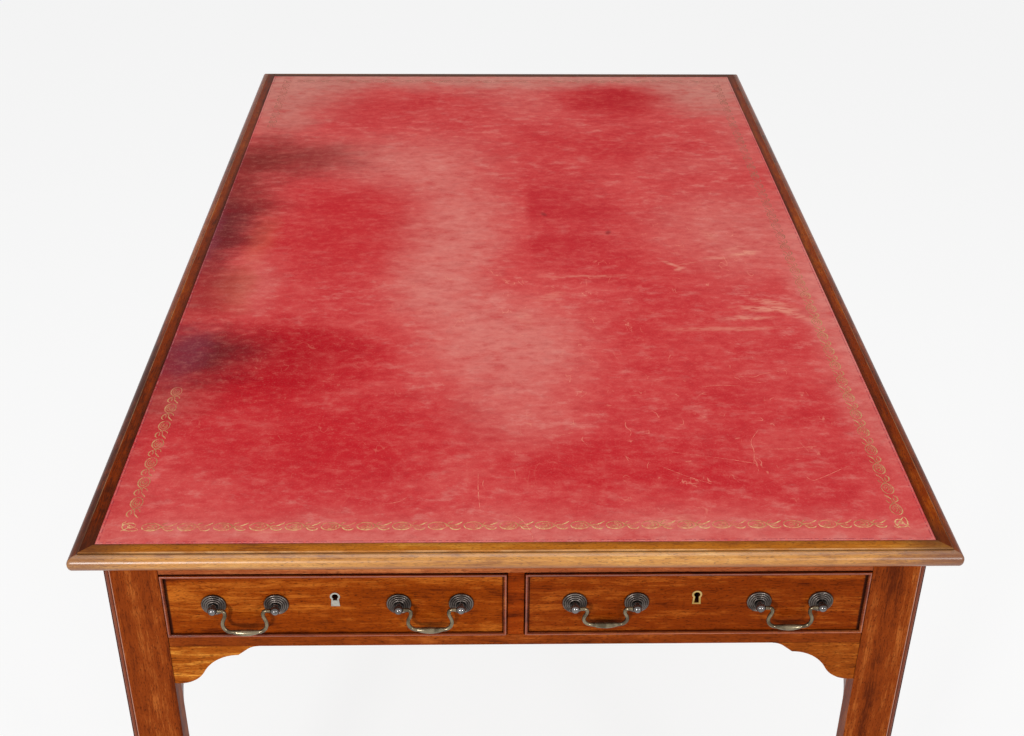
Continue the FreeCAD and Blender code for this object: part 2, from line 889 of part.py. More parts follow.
def make_drawer(name, span, covered):
    """Every piece of one drawer, by node name."""
    low_x = span[0] + bead_gap
    high_x = span[1] - bead_gap
    middle = (low_x + high_x) / 2
    drop = keyhole_drop_covered if covered else keyhole_drop
    left_side = make_side_blank((low_x, low_x + drawer_side_thickness))
    right_side = make_side_blank((high_x - drawer_side_thickness, high_x))
    back = block(
        (low_x, high_x), (drawer_rear - drawer_back_thickness, drawer_rear), (panel_top, back_top)
    )
    bottom = make_drawer_bottom(low_x, high_x)
    lock = make_lock_blank(middle)
    escutcheon = make_escutcheon_blank(middle)
    key_space = make_key_shape(
        middle, keyhole_radius, keyhole_neck, keyhole_foot, drop,
        (front_face - escutcheon_proud - overrun, lock_front + keyhole_depth),
    )
    roses, posts, nuts, bails = make_handles(low_x, high_x, handle_shifts[name], bail_leans[name])
    post_holes = [
        Part.makeCylinder(
            shank_radius + shank_gap, drawer_front_thickness + 2 * overrun,
            vec(post.BoundBox.Center.x, front_face - overrun, handle_z), y_axis,
        )
        for post in posts
    ]
    let_in = [left_side, right_side, bottom, lock, escutcheon, key_space]
    front = make_front_blank(low_x, high_x).cut(let_in + post_holes)
    return {
        "drawer_%s_front" % name: front,
        "drawer_%s_cock_bead" % name: group(make_cock_bead(low_x, high_x)),
        "drawer_%s_left_side" % name: left_side.cut(bottom),
        "drawer_%s_right_side" % name: right_side.cut(bottom),
        "drawer_%s_back" % name: back.cut([left_side, right_side]),
        "drawer_%s_bottom" % name: bottom,
        "drawer_%s_lock_case" % name: lock.cut([make_bolt(middle, bolt_gap, overrun), key_space]),
        "drawer_%s_lock_bolt" % name: make_bolt(middle),
        "drawer_%s_escutcheon" % name: escutcheon.cut(key_space),
        "drawer_%s_roses" % name: group(roses),
        "drawer_%s_posts" % name: group(posts),
        "drawer_%s_post_nuts" % name: group(nuts),
        "drawer_%s_bail_left" % name: bails[0],
        "drawer_%s_bail_right" % name: bails[1],
    }


def make_top():
    panel = make_top_panel()
    rounding = make_corner_rounding()
    end = make_moulding(top_width, top_length / 2).common(rounding).cut(panel)
    side = turned(make_moulding(top_length, top_width / 2), -90).common(rounding).cut(panel)
    in_buttons, in_bored = screw_places()
    screws = [make_screw(x, y) for x, y in in_buttons + in_bored]
    return {
        "top_panel": panel.cut(screws),
        "leather_inset": make_leather(),
        "edge_moulding_front": end,
        "edge_moulding_rear": end_to_end(end),
        "edge_moulding_left": side,
        "edge_moulding_right": across(side),
        "top_screws": group(screws),
    }


def make_frame():
    """Legs, rails, aprons, brackets and drawer supports, each cut for what it holds."""
    in_buttons, in_bored = screw_places()
    screws = [make_screw(x, y) for x, y in in_buttons + in_bored]
    bores = [make_counterbore(x, y) for x, y in in_bored]
    buttons = make_buttons()
    top_rail = make_front_top_rail()
    bottom_rail = make_front_bottom_rail()
    muntin = make_front_muntin()
    left_apron = make_left_apron()
    rear_apron = make_rear_apron()
    cross_rail = make_cross_rail()
    runner_left = make_runner_left()
    runner_centre = make_runner_centre()
    runners = [runner_left, runner_centre, across(runner_left)]
    kickers = make_kickers()
    rails = [top_rail, bottom_rail, left_apron, across(left_apron), rear_apron]
    leg = make_leg_blank()
    bolt_mortises = []
    mortise_rise = bead_gap + bolt_throw + bolt_mortise_gap
    for low, high in drawer_spans.values():
        bolt_mortises.append(make_bolt((low + high) / 2, bolt_mortise_gap, mortise_rise))
    nodes = {
        "leg_front_left": moved(leg, -leg_x, -leg_y, 0).cut(rails),
        "leg_front_right": moved(turned(leg, 90), leg_x, -leg_y, 0).cut(rails),
        "leg_rear_right": moved(turned(leg, 180), leg_x, leg_y, 0).cut(rails),
        "leg_rear_left": moved(turned(leg, 270), -leg_x, leg_y, 0).cut(rails),
        "front_top_rail": top_rail.cut([muntin] + bolt_mortises + screws + bores),
        "front_bottom_rail": bottom_rail.cut([muntin] + runners),
        "front_muntin": muntin,
        "left_apron": left_apron.cut([cross_rail] + buttons),
        "right_apron": across(left_apron).cut([cross_rail] + buttons),
        "rear_apron": rear_apron.cut(buttons),
        "cross_rail": cross_rail.cut(runners + kickers),
        "runner_left": runner_left,
        "runner_centre": runner_centre,
        "runner_right": across(runner_left),
        "drawer_kickers": group([kicker.cut(screws + bores) for kicker in kickers]),
        "drawer_stops": group(make_stops()),
        "top_buttons": group([button.cut(screws) for button in buttons]),
    }
    nodes.update(make_brackets())
    return nodes


def make_brackets():
    bracket = make_bracket()
    front = moved(bracket, -bay_x, front_face, apron_bottom)
    side = moved(turned(bracket.mirror(origin, y_axis), 90), -side_face, -bay_y, apron_bottom)
    return {
        "bracket_front_left": front,
        "bracket_front_right": across(front),
        "bracket_rear_left": end_to_end(front),
        "bracket_rear_right": across(end_to_end(front)),
        "bracket_left_front": side,
        "bracket_left_rear": end_to_end(side),
        "bracket_right_front": across(side),
        "bracket_right_rear": across(end_to_end(side)),
    }


def main():
    nodes = {}
    nodes.update(make_top())
    nodes.update(make_frame())
    nodes.update(make_drawer("left", drawer_spans["left"], True))
    nodes.update(make_drawer("right", drawer_spans["right"], False))
    os.makedirs("parts", exist_ok=True)
    for name, shape in nodes.items():
        shape.exportStep("parts/%s.step" % name)
        print(name, len(shape.Solids), "solids", round(shape.Volume), "mm3", shape.isValid())
    print(len(nodes), "nodes")


main()
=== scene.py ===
import json
import math

import bmesh
import bpy
from mathutils import Matrix, Vector, noise


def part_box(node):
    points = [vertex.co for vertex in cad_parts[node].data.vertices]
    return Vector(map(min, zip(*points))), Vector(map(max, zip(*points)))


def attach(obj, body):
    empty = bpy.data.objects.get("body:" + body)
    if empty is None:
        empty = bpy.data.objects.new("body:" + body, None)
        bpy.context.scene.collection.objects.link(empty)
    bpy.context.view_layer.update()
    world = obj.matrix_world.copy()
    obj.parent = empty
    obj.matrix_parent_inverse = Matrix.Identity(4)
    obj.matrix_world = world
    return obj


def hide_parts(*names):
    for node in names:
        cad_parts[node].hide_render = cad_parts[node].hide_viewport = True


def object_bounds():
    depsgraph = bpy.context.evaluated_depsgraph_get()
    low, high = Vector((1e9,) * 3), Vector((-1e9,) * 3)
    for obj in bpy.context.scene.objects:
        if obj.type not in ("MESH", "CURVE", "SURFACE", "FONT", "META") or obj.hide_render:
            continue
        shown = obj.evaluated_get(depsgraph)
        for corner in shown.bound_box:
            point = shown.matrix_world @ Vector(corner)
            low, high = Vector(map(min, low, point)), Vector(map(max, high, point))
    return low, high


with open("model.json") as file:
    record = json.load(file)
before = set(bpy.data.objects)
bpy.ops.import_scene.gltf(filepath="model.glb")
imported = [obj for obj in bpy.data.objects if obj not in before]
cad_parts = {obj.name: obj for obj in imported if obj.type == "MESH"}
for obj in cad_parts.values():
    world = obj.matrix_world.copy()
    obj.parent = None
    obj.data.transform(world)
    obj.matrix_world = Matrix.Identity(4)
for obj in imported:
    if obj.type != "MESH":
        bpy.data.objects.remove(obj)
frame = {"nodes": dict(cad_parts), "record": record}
cad_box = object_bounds()

# A worn leather-topped writing table, seen from the end that holds its two drawers.
# Metres. Shapes and places come from the frame; the values here are those of finish and wear, and of
# painted light and shade.

# Camera
photo_width = 1024
focal_pixels = 1382.0
sensor_width_mm = 36.0
camera_place = Vector((-0.0332, -1.8359, 1.6477))
camera_pitch = math.radians(31.074)
camera_yaw = math.radians(1.306)
camera_roll = math.radians(0.521)

# Stage
floor_half = 15.0
floor_tone = 0.9
floor_glow_share = 0.85
sky_strength = 0.31
lamp_aim = Vector((0.0, -0.35, 0.7))
lamps = {
    "left_lamp": (Vector((-1.2, -3.4, 1.35)), 0.35, 50.0),
    "right_lamp": (Vector((1.6, -3.3, 1.4)), 0.35, 26.0),
    "top_lamp": (Vector((0.0, -0.1, 3.3)), 2.4, 44.0),
}

# Edge moulding, as in the solids
border_width = 0.014
quirk_depth = 0.002
nose_drop = 0.0092
moulding_foot_setback = 0.004
corner_radius = 0.003
arris_radius = 0.0006
arc_steps = 10
mitre_steps = 14
mitre_zone = 0.03

# Half sizes of the whole top and of the hide
top_half = cad_box[1].xy
hide_low, hide_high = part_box("leather_inset")
hide_half = hide_high.xy
moulding_width = top_half[0] - hide_half[0]
thumb_width = moulding_width - border_width

# Middle of a noise's values, rays of the search for corners, and half the height of painted spots
noise_middle = 0.5
corner_rays = 6
spot_half_height = 1000.0

# Timber noises: how fast each changes along the grain and across it, its detail and its roughness
timber_noises = {
    "bands": ((2.2, 46.0, 46.0), 4.0, 0.6),
    "fibres": ((48.0, 620.0, 620.0), 3.0, 0.6),
    "mottle": ((40.0, 80.0, 80.0), 3.0, 0.55),
    "flecks": ((240.0, 1300.0, 1300.0), 1.0, 0.5),
}
# The share of each noise in the tone, and the tones between which the colours turn
tone_shares = {"bands": 0.56, "fibres": 0.24, "mottle": 0.20}
dark_to_middle = (0.38, 0.5)
middle_to_light = (0.5, 0.63)
# How far apart boards lie in the pattern and how it wanders; flecks; painted shade in seams; gloss and
# relief
board_spread = 9.0
board_warp = (2.6, 0.022)
fleck_span = (0.55, 0.7)
fleck_strength = 0.65
fleck_dark_share = 0.45
seam_shade_reach = 0.01
seam_shade_shares = (0.25, 0.85, 0.25, 1.0)
wood_gloss_swing = 0.16
fine_bump = (0.12, 0.0002)

# Metal: clouds of tone, grit, and patina and painted shade in the hollows
metal_clouds = (90.0, 3.0, 0.5)
metal_cloud_span = (0.38, 0.62)
metal_grit = (1100.0, 2.0)
metal_gloss_swing = 0.14
metal_bump = (0.08, 0.0002)
hollow_span = (0.35, 0.92)

# Marks of the moulding and the legs, most of them painted light and shade; four shares are a span, and the
# least and most that it gives
line_blur = 0.0004
# Widths of painted shade in the nose's quirk, of painted highlights on the flat's arris and the nose's
# rim, and the share of the nose's drop where painted shade under it is full
quirk_shade_width = 0.001
arris_highlight_width = 0.0009
nose_rim_highlight = (0.0006, 0.0015)
under_shade_share = 1.7
nose_corner = (0.016, 0.08)
flat_corner = (moulding_width, 0.08)
patch_noise = (24.0, 4.0, 0.6)
patch_shares = (0.36, 0.6, 0.35, 1.0)
leg_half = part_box("leg_rear_right")[1].xy
leg_mould_width = 0.0077
leg_quirk = 0.0012
leg_chamfer_reach = 0.0808

# Drawer fronts: the cock bead, and the width and strength of old polish and painted shadow beside it
bead_width = 0.004
bead_seam_shade = (0.00025, 0.0005)
bead_crest_highlight = (0.0012, 0.0018)
bead_inner = (0.0024, 0.0036)
bead_polish_and_shadow = {"outer": (0.0028, 0.92), "inner": (0.0012, 0.7), "foot": (0.0006, 0.1), "head": (0.0006, 0.3)}
polish_and_shadow_shares = (0.6, 1.3)

# Softened edges
weld_distance = 1e-6
flat_angle = math.radians(1.0)
sharp_angle = math.radians(40.0)
wood_softness = 0.0007
leg_softness = 0.00025
bevel_steps = 2

# The hide's shape
hide_relief = 0.00012
hide_relief_pitch = 0.07
hide_edge_drop = 0.0003
hide_edge_reach = 0.0018
hide_edge_steps = (0.0, 0.0006, hide_edge_reach, 0.005)
hide_columns = 60
hide_rows = 96

# Hide noises: how fast each changes across, along and upwards, its detail and its roughness
hide_noises = {
    "clouds": ((9.0, 9.0, 9.0), 8.0, 0.68),
    "patches": ((12.0, 24.0, 1.0), 8.0, 0.7),
    "streaks": ((34.0, 60.0, 1.0), 6.0, 0.7),
    "mottle": ((80.0, 110.0, 1.0), 6.0, 0.72),
    "specks": ((420.0, 420.0, 420.0), 3.0, 0.6),
    "rubs": ((70.0, 260.0, 1.0), 3.0, 0.6),
}
# Painted areas of the hide: how their edges are warped, and the part of each that has its full tone
area_warp = (6.0, 0.07, 4.0)
edge_warp = (34.0, 0.022, 4.0)
scuff_warp = (26.0, 0.014, 4.0)
ragged_strength = 0.85
area_core = 0.12
scuff_core = 0.2
covered_core = 0.3
scratched_core = 0.4
rub_span = (0.34, 0.56)
own_red_span = (0.34, 0.66)

# The redder patch behind the middle, which something once covered: its area as for the lists below,
# its straight left side, and the paler band across it
covered_area = (0.07, 0.06, 0.18, 0.23, 0)
covered_side = 0.033
covered_blur = 0.008
covered_warp = (30.0, 0.008)
covered_strength = 0.9
paler_band = (0.025, 0.05)
paler_blur = 0.035
paler_strength = 0.55

# Hair scratches: the stretch, level and scale of each set of lines, and what breaks them into lengths
hair_warp = (7.0, 0.06)
hair_sets = [((0.35, 1.0, 1.0), 0.3, 46.0), ((1.0, 0.3, 1.0), 0.7, 40.0)]
hair_thickness = 0.009
break_noise = (34.0, 3.0, 0.6)
break_span = (0.56, 0.64)

# The hide's edge, its grain, and where scratches bare it
tick_noise = (300.0, 2.0)
hide_rim = (0.0002, 0.0008)
hide_rim_strength = 0.7
pebble_scale = 620.0
pebble_wall = 0.25
crease_warp = (12.0, 0.05)
crease_scale = 26.0
crease_wall = 0.02
hide_gloss = (0.56, 0.2)
bared_noise = (150.0, 3.0, 0.6)
bared_span = (0.4, 0.6)

# Gilding: where along the length it is kept on each side, and how it is rubbed
gilt_warp = (9.0, 0.1)
right_half = (-0.02, 0.02)
kept_on_left = (-0.44, -0.38)
kept_on_right = (-0.2, 0.02)
gilt_rubs = (60.0, 4.0, 0.65)
gilt_glints = (210.0, 2.0)
glint_span = (0.42, 0.6)
thin_span = (0.5, 0.66)
thin_strength = 0.8
lost_span = (0.4, 0.58)
front_run = (-0.674, -0.655)
front_strength = 0.45

# Tooled border: how far inside the hide's edge it lies, and where along the left side it is rubbed away
border_inset = 0.0215
border_band = 0.0135
border_repeat = 0.0372
corner_turn = 0.018
rubbed_away = (-0.375, 0.48)
bright_width = 0.0019
dull_width = 0.0016
scratch_width = 0.0009
stroke_rise = 0.00008
stroke_sink = 0.00002
stroke_steps = 5
stroke_end_share = 0.45
stroke_sharp_angle = math.pi / 2


def srgb(red, green, blue):
    """A colour read as 0 to 255 on a screen, in linear light."""
    values = [value / 255 for value in (red, green, blue)]
    return tuple(v / 12.92 if v <= 0.04045 else ((v + 0.055) / 1.055) ** 2.4 for v in values)


class Nodes:
    """The nodes of a material or of the sky, with short calls that add and wire them."""

    def __init__(self, owner):
        owner.use_nodes = True
        self.owner = owner
        self.tree = owner.node_tree
        self.tree.nodes.clear()

    def add(self, kind, sockets=None, **settings):
        """A new node of a kind, with its settings, and with its sockets fed by name or number."""
        node = self.tree.nodes.new("ShaderNode" + kind)
        for key, value in settings.items():
            setattr(node, key, value)
        for key, value in (sockets or {}).items():
            self.feed(node.inputs[key], value)
        return node

    def feed(self, socket, value):
        """Links an output to a socket, or sets the socket to a constant."""
        if isinstance(value, bpy.types.NodeSocket):
            self.tree.links.new(value, socket)
        elif socket.type == "RGBA" and len(value) == 3:
            socket.default_value = (*value, 1.0)
        else:
            socket.default_value = value

    def math(self, operation, first, second):
        return self.add("Math", {0: first, 1: second}, operation=operation).outputs[0]

    def times(self, first, second):
        return self.math("MULTIPLY", first, second)

    def whiter_when_seen(self, usual, white, share=1.0):
        """The usual shader, covered by a white one where the camera, a gloss or a clear body shows it."""
        path = self.add("LightPath").outputs
        seen = 0.0
        for name in ("Is Camera Ray", "Is Glossy Ray", "Is Transmission Ray"):
            seen = self.math("MAXIMUM", seen, path[name])
        sockets = {0: self.times(seen, share), 1: usual, 2: white}
        return self.add("MixShader", sockets).outputs[0]


class Shader(Nodes):
    """A new material, with calls for the patterns that its finish and its wear are made of."""

    def __init__(self, name):
        super().__init__(bpy.data.materials.new(name))
        self.place = self.add("TexCoord").outputs["Object"]
        self.colour = None

    def finish(self, **sockets):
        """Ends the material in its main shader; an underscore stands for a space in a socket's name."""
        named = {name.replace("_", " "): value for name, value in sockets.items()}
        body = self.add("BsdfPrincipled", {"Base Color": self.colour, **named})
        self.add("OutputMaterial", {"Surface": body.outputs["BSDF"]})
        return self.owner

    def vector_math(self, operation, *values):
        return self.add("VectorMath", dict(enumerate(values)), operation=operation).outputs[0]

    def mix(self, factor, first, second, blend="MIX"):
        """A mix of two colours, through the node's numbered sockets for colours."""
        sockets = {"Factor": factor, 6: first, 7: second}
        return self.add("Mix", sockets, data_type="RGBA", blend_type=blend).outputs[2]

    def span(self, value, low, high, to_low=0.0, to_high=1.0):
        """A smooth step of value from low to high, or falling where low is the higher one."""
        sockets = dict(enumerate((value, low, high, to_low, to_high)))
        return self.add("MapRange", sockets, interpolation_type="SMOOTHSTEP").outputs[0]

    def fade(self, value, low, high):
        """A smooth step of value, from one at low to zero at high."""
        return self.span(value, high, low)

    def stretched(self, place, scale, offset=(0.0, 0.0, 0.0)):
        sockets = {"Vector": place, "Location": offset, "Scale": scale}
        return self.add("Mapping", sockets).outputs[0]

    def noise(self, place, scale, detail=2.0, roughness=0.5):
        sockets = {"Vector": place, "Scale": scale, "Detail": detail, "Roughness": roughness}
        return self.add("TexNoise", sockets).outputs[0]

    def noises(self, place, table):
        """A noise for each row of a table: its scale along each axis, detail and roughness."""
        return {
            name: self.noise(self.stretched(place, scale), 1.0, detail, roughness)
            for name, (scale, detail, roughness) in table.items()
        }

    def cells(self, place, scale):
        """The distance to the nearest cell wall of a cracked pattern."""
        sockets = {"Vector": place, "Scale": scale}
        return self.add("TexVoronoi", sockets, feature="DISTANCE_TO_EDGE").outputs[0]

    def warped(self, place, scale, amount, detail=2.0):
        """The place moved about by noise, so that what is drawn there has uneven edges."""
        sockets = {"Vector": place, "Scale": scale, "Detail": detail}
        drift = self.add("TexNoise", sockets).outputs["Color"]
        shift = self.vector_math("MULTIPLY_ADD", drift, [amount] * 3, [-amount / 2] * 3)
        return self.vector_math("ADD", place, shift)

    def own_place(self):
        """The place with an offset of each object's own, so that no two boards look the same."""
        shift = self.times(self.add("ObjectInfo").outputs["Random"], board_spread)
        return self.vector_math("ADD", self.place, shift)

    def axes(self, place):
        return list(self.add("SeparateXYZ", {0: place}).outputs)

    def vector(self, x, y, z):
        return self.add("CombineXYZ", {0: x, 1: y, 2: z}).outputs[0]

    def spot(self, place, area, core, ragged=0.0):
        """One inside an ellipse on the table top, falling to zero at its edge; core is the full part."""
        x, y, half_width, half_length, turn_degrees = area
        sockets = {
            "Vector": place,
            "Location": (x, y, 0.0),
            "Rotation": (0.0, 0.0, math.radians(turn_degrees)),
            "Scale": (half_width, half_length, spot_half_height),
        }
        local = self.add("Mapping", sockets, vector_type="TEXTURE").outputs[0]
        away = self.add("VectorMath", {0: local}, operation="LENGTH").outputs["Value"]
        return self.fade(self.math("ADD", away, ragged), core, 1.0)

    def corners(self, reach):
        """How open a point is: low in corners and seams, where it darkens the colour as painted shade."""
        node = self.add("AmbientOcclusion", {"Distance": reach}, samples=corner_rays)
        return node.outputs["AO"]

    def inset(self, half_sizes, operation="MINIMUM"):
        """The distance in from the nearer of a rectangle's edges; operation can join the two otherwise."""
        gaps = []
        for half, value in zip(half_sizes, self.axes(self.place)):
            gaps.append(self.math("SUBTRACT", half, self.math("ABSOLUTE", value, 0.0)))
        return self.math(operation, *gaps)

    def panel_gaps(self, low, high):
        """The distances in from the left, right, lower and upper edges of an upright panel."""
        x, z = self.axes(self.place)[::2]
        pairs = ((x, low.x), (high.x, x), (z, low.z), (high.z, z))
        return [self.math("SUBTRACT", *pair) for pair in pairs]

    def band(self, value, low, high, blur):
        """One from low to high, falling to zero over blur on both sides."""
        return self.times(self.span(value, low - blur, low), self.fade(value, high, high + blur))

    def tint(self, tone, mask, strength=1.0):
        """Moves the colour towards a tone, given as on a screen, where the mask is one."""
        self.colour = self.mix(self.times(mask, strength), self.colour, srgb(*tone))

    def blend(self, factor, first, second):
        """A mix of two tones, given as on a screen."""
        return self.mix(factor, srgb(*first), srgb(*second))

    def mark(self, name, mask, strength=1.0):
        """Adds one of the marks of dirt or wear where the mask is one."""
        tone, usual_strength = mark_looks[name]
        self.tint(tone, mask, usual_strength * strength)

    def hair_lines(self, place, scale):
        """Thin wandering lines, where a noise crosses its middle value."""
        away = self.math("ABSOLUTE", self.math("SUBTRACT", self.noise(place, scale), noise_middle), 0.0)
        return self.fade(away, 0.0, hair_thickness)

    def uneven(self, value, middle, swing):
        """A number that follows a noise, by swing in all, about its middle."""
        return self.math("ADD", self.times(value, swing), middle - swing / 2)

    def bump(self, height, strength, distance):
        sockets = {"Height": height, "Strength": strength, "Distance": distance}
        return self.add("Bump", sockets).outputs[0]


# Materials

# Looks of marks, most of them painted light and shade: tone and strength
mark_looks = {
    # Flat: painted highlight on the arris; darker beside the hide and at the corners
    "flat_arris_highlight": ((222, 178, 128), 1.0),
    "flat_inner": ((36, 12, 4), 1.0),
    "flat_corner": ((70, 34, 20), 0.6),
    # Nose: painted shade in the quirk and under it, darker corners, and a painted highlight on the rim
    "nose_quirk_shade": ((96, 52, 36), 0.6),
    "nose_under": ((126, 62, 14), 1.0),
    "nose_corner": ((104, 58, 34), 1.0),
    "nose_rim_highlight": ((176, 164, 164), 1.0),
    # Legs: painted reflections on the moulded corner and the chamfer, painted shade in the quirk, a
    # painted highlight on the arris
    "leg_round_reflection": ((122, 72, 58), 0.5),
    "leg_quirk": ((52, 20, 18), 0.75),
    "leg_arris_highlight": ((200, 160, 142), 0.45),
    "leg_chamfer_reflection": ((166, 152, 152), 0.75),
    # Drawer fronts: old polish and painted shadow beside the bead
    "front_polish": ((26, 8, 5), 1.0),
    # Cock beads: painted shade in the seam and on the inner side, a painted highlight on the crest
    "bead_seam_shade": ((34, 8, 6), 0.7),
    "bead_crest_highlight": ((190, 140, 130), 0.32),
    "bead_inner": ((50, 16, 8), 0.5),
}


def make_wood(name, grain, tones, roughness, specular, marks=None):
    """Polished timber whose fibres run along the axis named by grain, with painted shade in its seams;
    marks adds wear and painted light and shade to its colour.
    """
    shader = Shader(name)
    dark, middle, light = (srgb(*tone) for tone in tones)
    x, y, z = shader.axes(shader.own_place())
    order = {"x": (x, y, z), "y": (y, z, x), "z": (z, x, y)}[grain]
    board = shader.warped(shader.vector(*order), *board_warp)
    noises = shader.noises(board, timber_noises)
    tone = 0.0
    for key, share in tone_shares.items():
        tone = shader.math("ADD", tone, shader.times(noises[key], share))
    colour = shader.mix(shader.span(tone, *dark_to_middle), dark, middle)
    colour = shader.mix(shader.span(tone, *middle_to_light), colour, light)
    fleck_tone = tuple(value * fleck_dark_share for value in dark)
    flecks = shader.times(shader.span(noises["flecks"], *fleck_span), fleck_strength)
    shader.colour = shader.mix(flecks, colour, fleck_tone)
    if marks:
        marks(shader)
    # Painted shade: darker in seams and corners, where less light reaches
    seams = shader.span(shader.corners(seam_shade_reach), *seam_shade_shares)
    shader.colour = shader.mix(1.0, shader.colour, seams, "MULTIPLY")
    return shader.finish(
        Roughness=shader.uneven(noises["fibres"], roughness, wood_gloss_swing),
        Specular_IOR_Level=specular,
        Normal=shader.bump(noises["fibres"], *fine_bump),
    )


def moulding_marks(inner_band_width, inner_strength, highlight_strength):
    """Marks of the moulding's flat: a painted highlight on its arris, a darker band beside the hide, and
    darker corners.
    """
    def marks(shader):
        depth = shader.inset(top_half)
        patches = shader.noise(shader.place, *patch_noise)
        arris = shader.band(depth, thumb_width, thumb_width + arris_highlight_width, line_blur)
        arris_highlight_mask = shader.times(arris, shader.span(patches, *patch_shares))
        shader.mark("flat_arris_highlight", arris_highlight_mask, highlight_strength)
        drift = shader.times(shader.math("SUBTRACT", patches, noise_middle), inner_band_width)
        inner = shader.span(shader.math("ADD", depth, drift), moulding_width - inner_band_width, moulding_width)
        shader.mark("flat_inner", inner, inner_strength)
        shader.mark("flat_corner", shader.fade(shader.inset(top_half, "MAXIMUM"), *flat_corner))
    return marks


def nose_marks(highlight_strength, under_shade_strength, corner_strength):
    """Marks of the moulding's nose: painted shade in the quirk, a painted highlight on its rim, painted
    shade below, and darker corners.
    """
    def marks(shader):
        depth = shader.inset(top_half)
        shader.mark("nose_quirk_shade", shader.band(depth, thumb_width - quirk_shade_width, thumb_width, line_blur))
        height = shader.axes(shader.place)[2]
        under = shader.fade(height, cad_box[1].z - nose_drop * under_shade_share, cad_box[1].z - nose_drop)
        shader.mark("nose_under", under, under_shade_strength)
        corner = shader.fade(shader.inset(top_half, "MAXIMUM"), *nose_corner)
        shader.mark("nose_corner", corner, corner_strength)
        shader.mark("nose_rim_highlight", shader.fade(depth, *nose_rim_highlight), highlight_strength)
    return marks


def leg_marks(shader):
    """Painted light on the legs: a painted reflection on the moulded corner, painted shade in its quirk, a
    painted highlight on the arris next to it, and a grey painted reflection on the chamfer.
    """
    depth = shader.inset(leg_half, "MAXIMUM")
    quirk = (leg_mould_width - leg_quirk, leg_mould_width)
    shader.mark("leg_round_reflection", shader.fade(depth, *quirk))
    shader.mark("leg_quirk", shader.band(depth, *quirk, line_blur))
    arris = shader.band(depth, leg_mould_width + line_blur, leg_mould_width + arris_highlight_width, line_blur)
    shader.mark("leg_arris_highlight", arris)
    reach = shader.inset(leg_half, "ADD")
    shader.mark("leg_chamfer_reflection", shader.span(reach, leg_chamfer_reach, leg_chamfer_reach + line_blur))


def drawer_marks(node):
    """Marks of a drawer front: old polish and painted shadow of the bead along it, most at the outer end.
    """
    low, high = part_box(node)
    ends = ("outer", "inner") if low.x < 0 else ("inner", "outer")

    def marks(shader):
        for gap, key in zip(shader.panel_gaps(low, high), (*ends, "foot", "head")):
            width, strength = bead_polish_and_shadow[key]
            start, end = (bead_width + width * share for share in polish_and_shadow_shares)
            shader.mark("front_polish", shader.fade(gap, start, end), strength)
    return marks


def bead_marks(node):
    """Marks of a cock bead: painted shade in the seam outside it, a painted highlight on its crest, and
    painted shade on its inner side.
    """
    low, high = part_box(node)

    def marks(shader):
        gap, *others = shader.panel_gaps(low, high)
        for other in others:
            gap = shader.math("MINIMUM", gap, other)
        shader.mark("bead_seam_shade", shader.fade(gap, *bead_seam_shade))
        shader.mark("bead_crest_highlight", shader.band(gap, *bead_crest_highlight, line_blur))
        shader.mark("bead_inner", shader.span(gap, *bead_inner))
    return marks


def make_metal(name, tones, metallic, roughness, reach):
    """Toned metal, paler where hands rub it and dark in its hollows, as patina and painted shade."""
    shader = Shader(name)
    dark, middle, light = tones
    clouds = shader.noise(shader.place, *metal_clouds)
    grit = shader.noise(shader.place, *metal_grit)
    shader.colour = shader.blend(shader.span(clouds, *metal_cloud_span), middle, light)
    # Patina and painted shade: darker in hollows and beneath parts, where less light reaches
    shader.tint(dark, shader.fade(shader.corners(reach), *hollow_span))
    return shader.finish(
        Metallic=metallic,
        Roughness=shader.uneven(grit, roughness, metal_gloss_swing),
        Normal=shader.bump(grit, *metal_bump),
    )


# Areas of the hide: middle x and y, half width and half length, turn in degrees, strength
faded_areas = [
    (-0.15, 0.28, 0.21, 0.18, 8, 0.75),
    (-0.27, 0.36, 0.14, 0.1, 0, 0.3),
    (-0.08, 0.04, 0.13, 0.28, 0, 0.85),
    (-0.1, -0.14, 0.11, 0.2, 0, 0.8),
    (-0.01, -0.29, 0.17, 0.19, 0, 0.92),
    (0.01, -0.45, 0.11, 0.16, 0, 0.45),
    (0.33, 0.02, 0.18, 0.22, 0, 0.58),
    (-0.36, -0.14, 0.06, 0.14, 0, 0.4),
    (0.03, 0.6, 0.12, 0.16, 0, 0.35),
    (0.0, -0.71, 0.9, 0.07, 0, 0.62),
    (0.43, 0.42, 0.08, 0.26, 0, 0.45),
    (0.43, -0.2, 0.06, 0.55, 0, 0.95),
    (0.3, 0.28, 0.12, 0.08, 0, 0.25),
]
# The paler far end of the hide: partly fading, partly painted sheen
bleached_and_sheen_areas = [
    (-0.4, 0.66, 0.22, 0.26, 0, 0.8),
    (0.42, 0.66, 0.22, 0.22, 0, 0.85),
    (0.34, 0.6, 0.14, 0.12, 0, 0.5),
    (-0.4, 0.48, 0.1, 0.16, 0, 0.45),
    (0.0, 0.725, 1.2, 0.12, 0, 1.0),
]
rich_areas = [
    (0.205, 0.585, 0.14, 0.125, 0, 1.0),
    (-0.25, 0.05, 0.19, 0.26, 0, 0.8),
    (-0.29, -0.36, 0.21, 0.17, 0, 1.0),
    (-0.21, -0.53, 0.24, 0.14, 0, 0.85),
    (0.1, -0.59, 0.24, 0.09, 0, 0.75),
    (0.2, -0.1, 0.16, 0.1, 0, 0.4),
    (0.21, -0.27, 0.14, 0.14, 0, 0.4),
    (-0.2, 0.56, 0.22, 0.12, 0, 0.45),
    (0.14, 0.36, 0.26, 0.12, 0, 0.45),
    (0.26, -0.42, 0.26, 0.12, 0, 0.3),
    (0.28, -0.56, 0.18, 0.12, 0, 0.35),
]
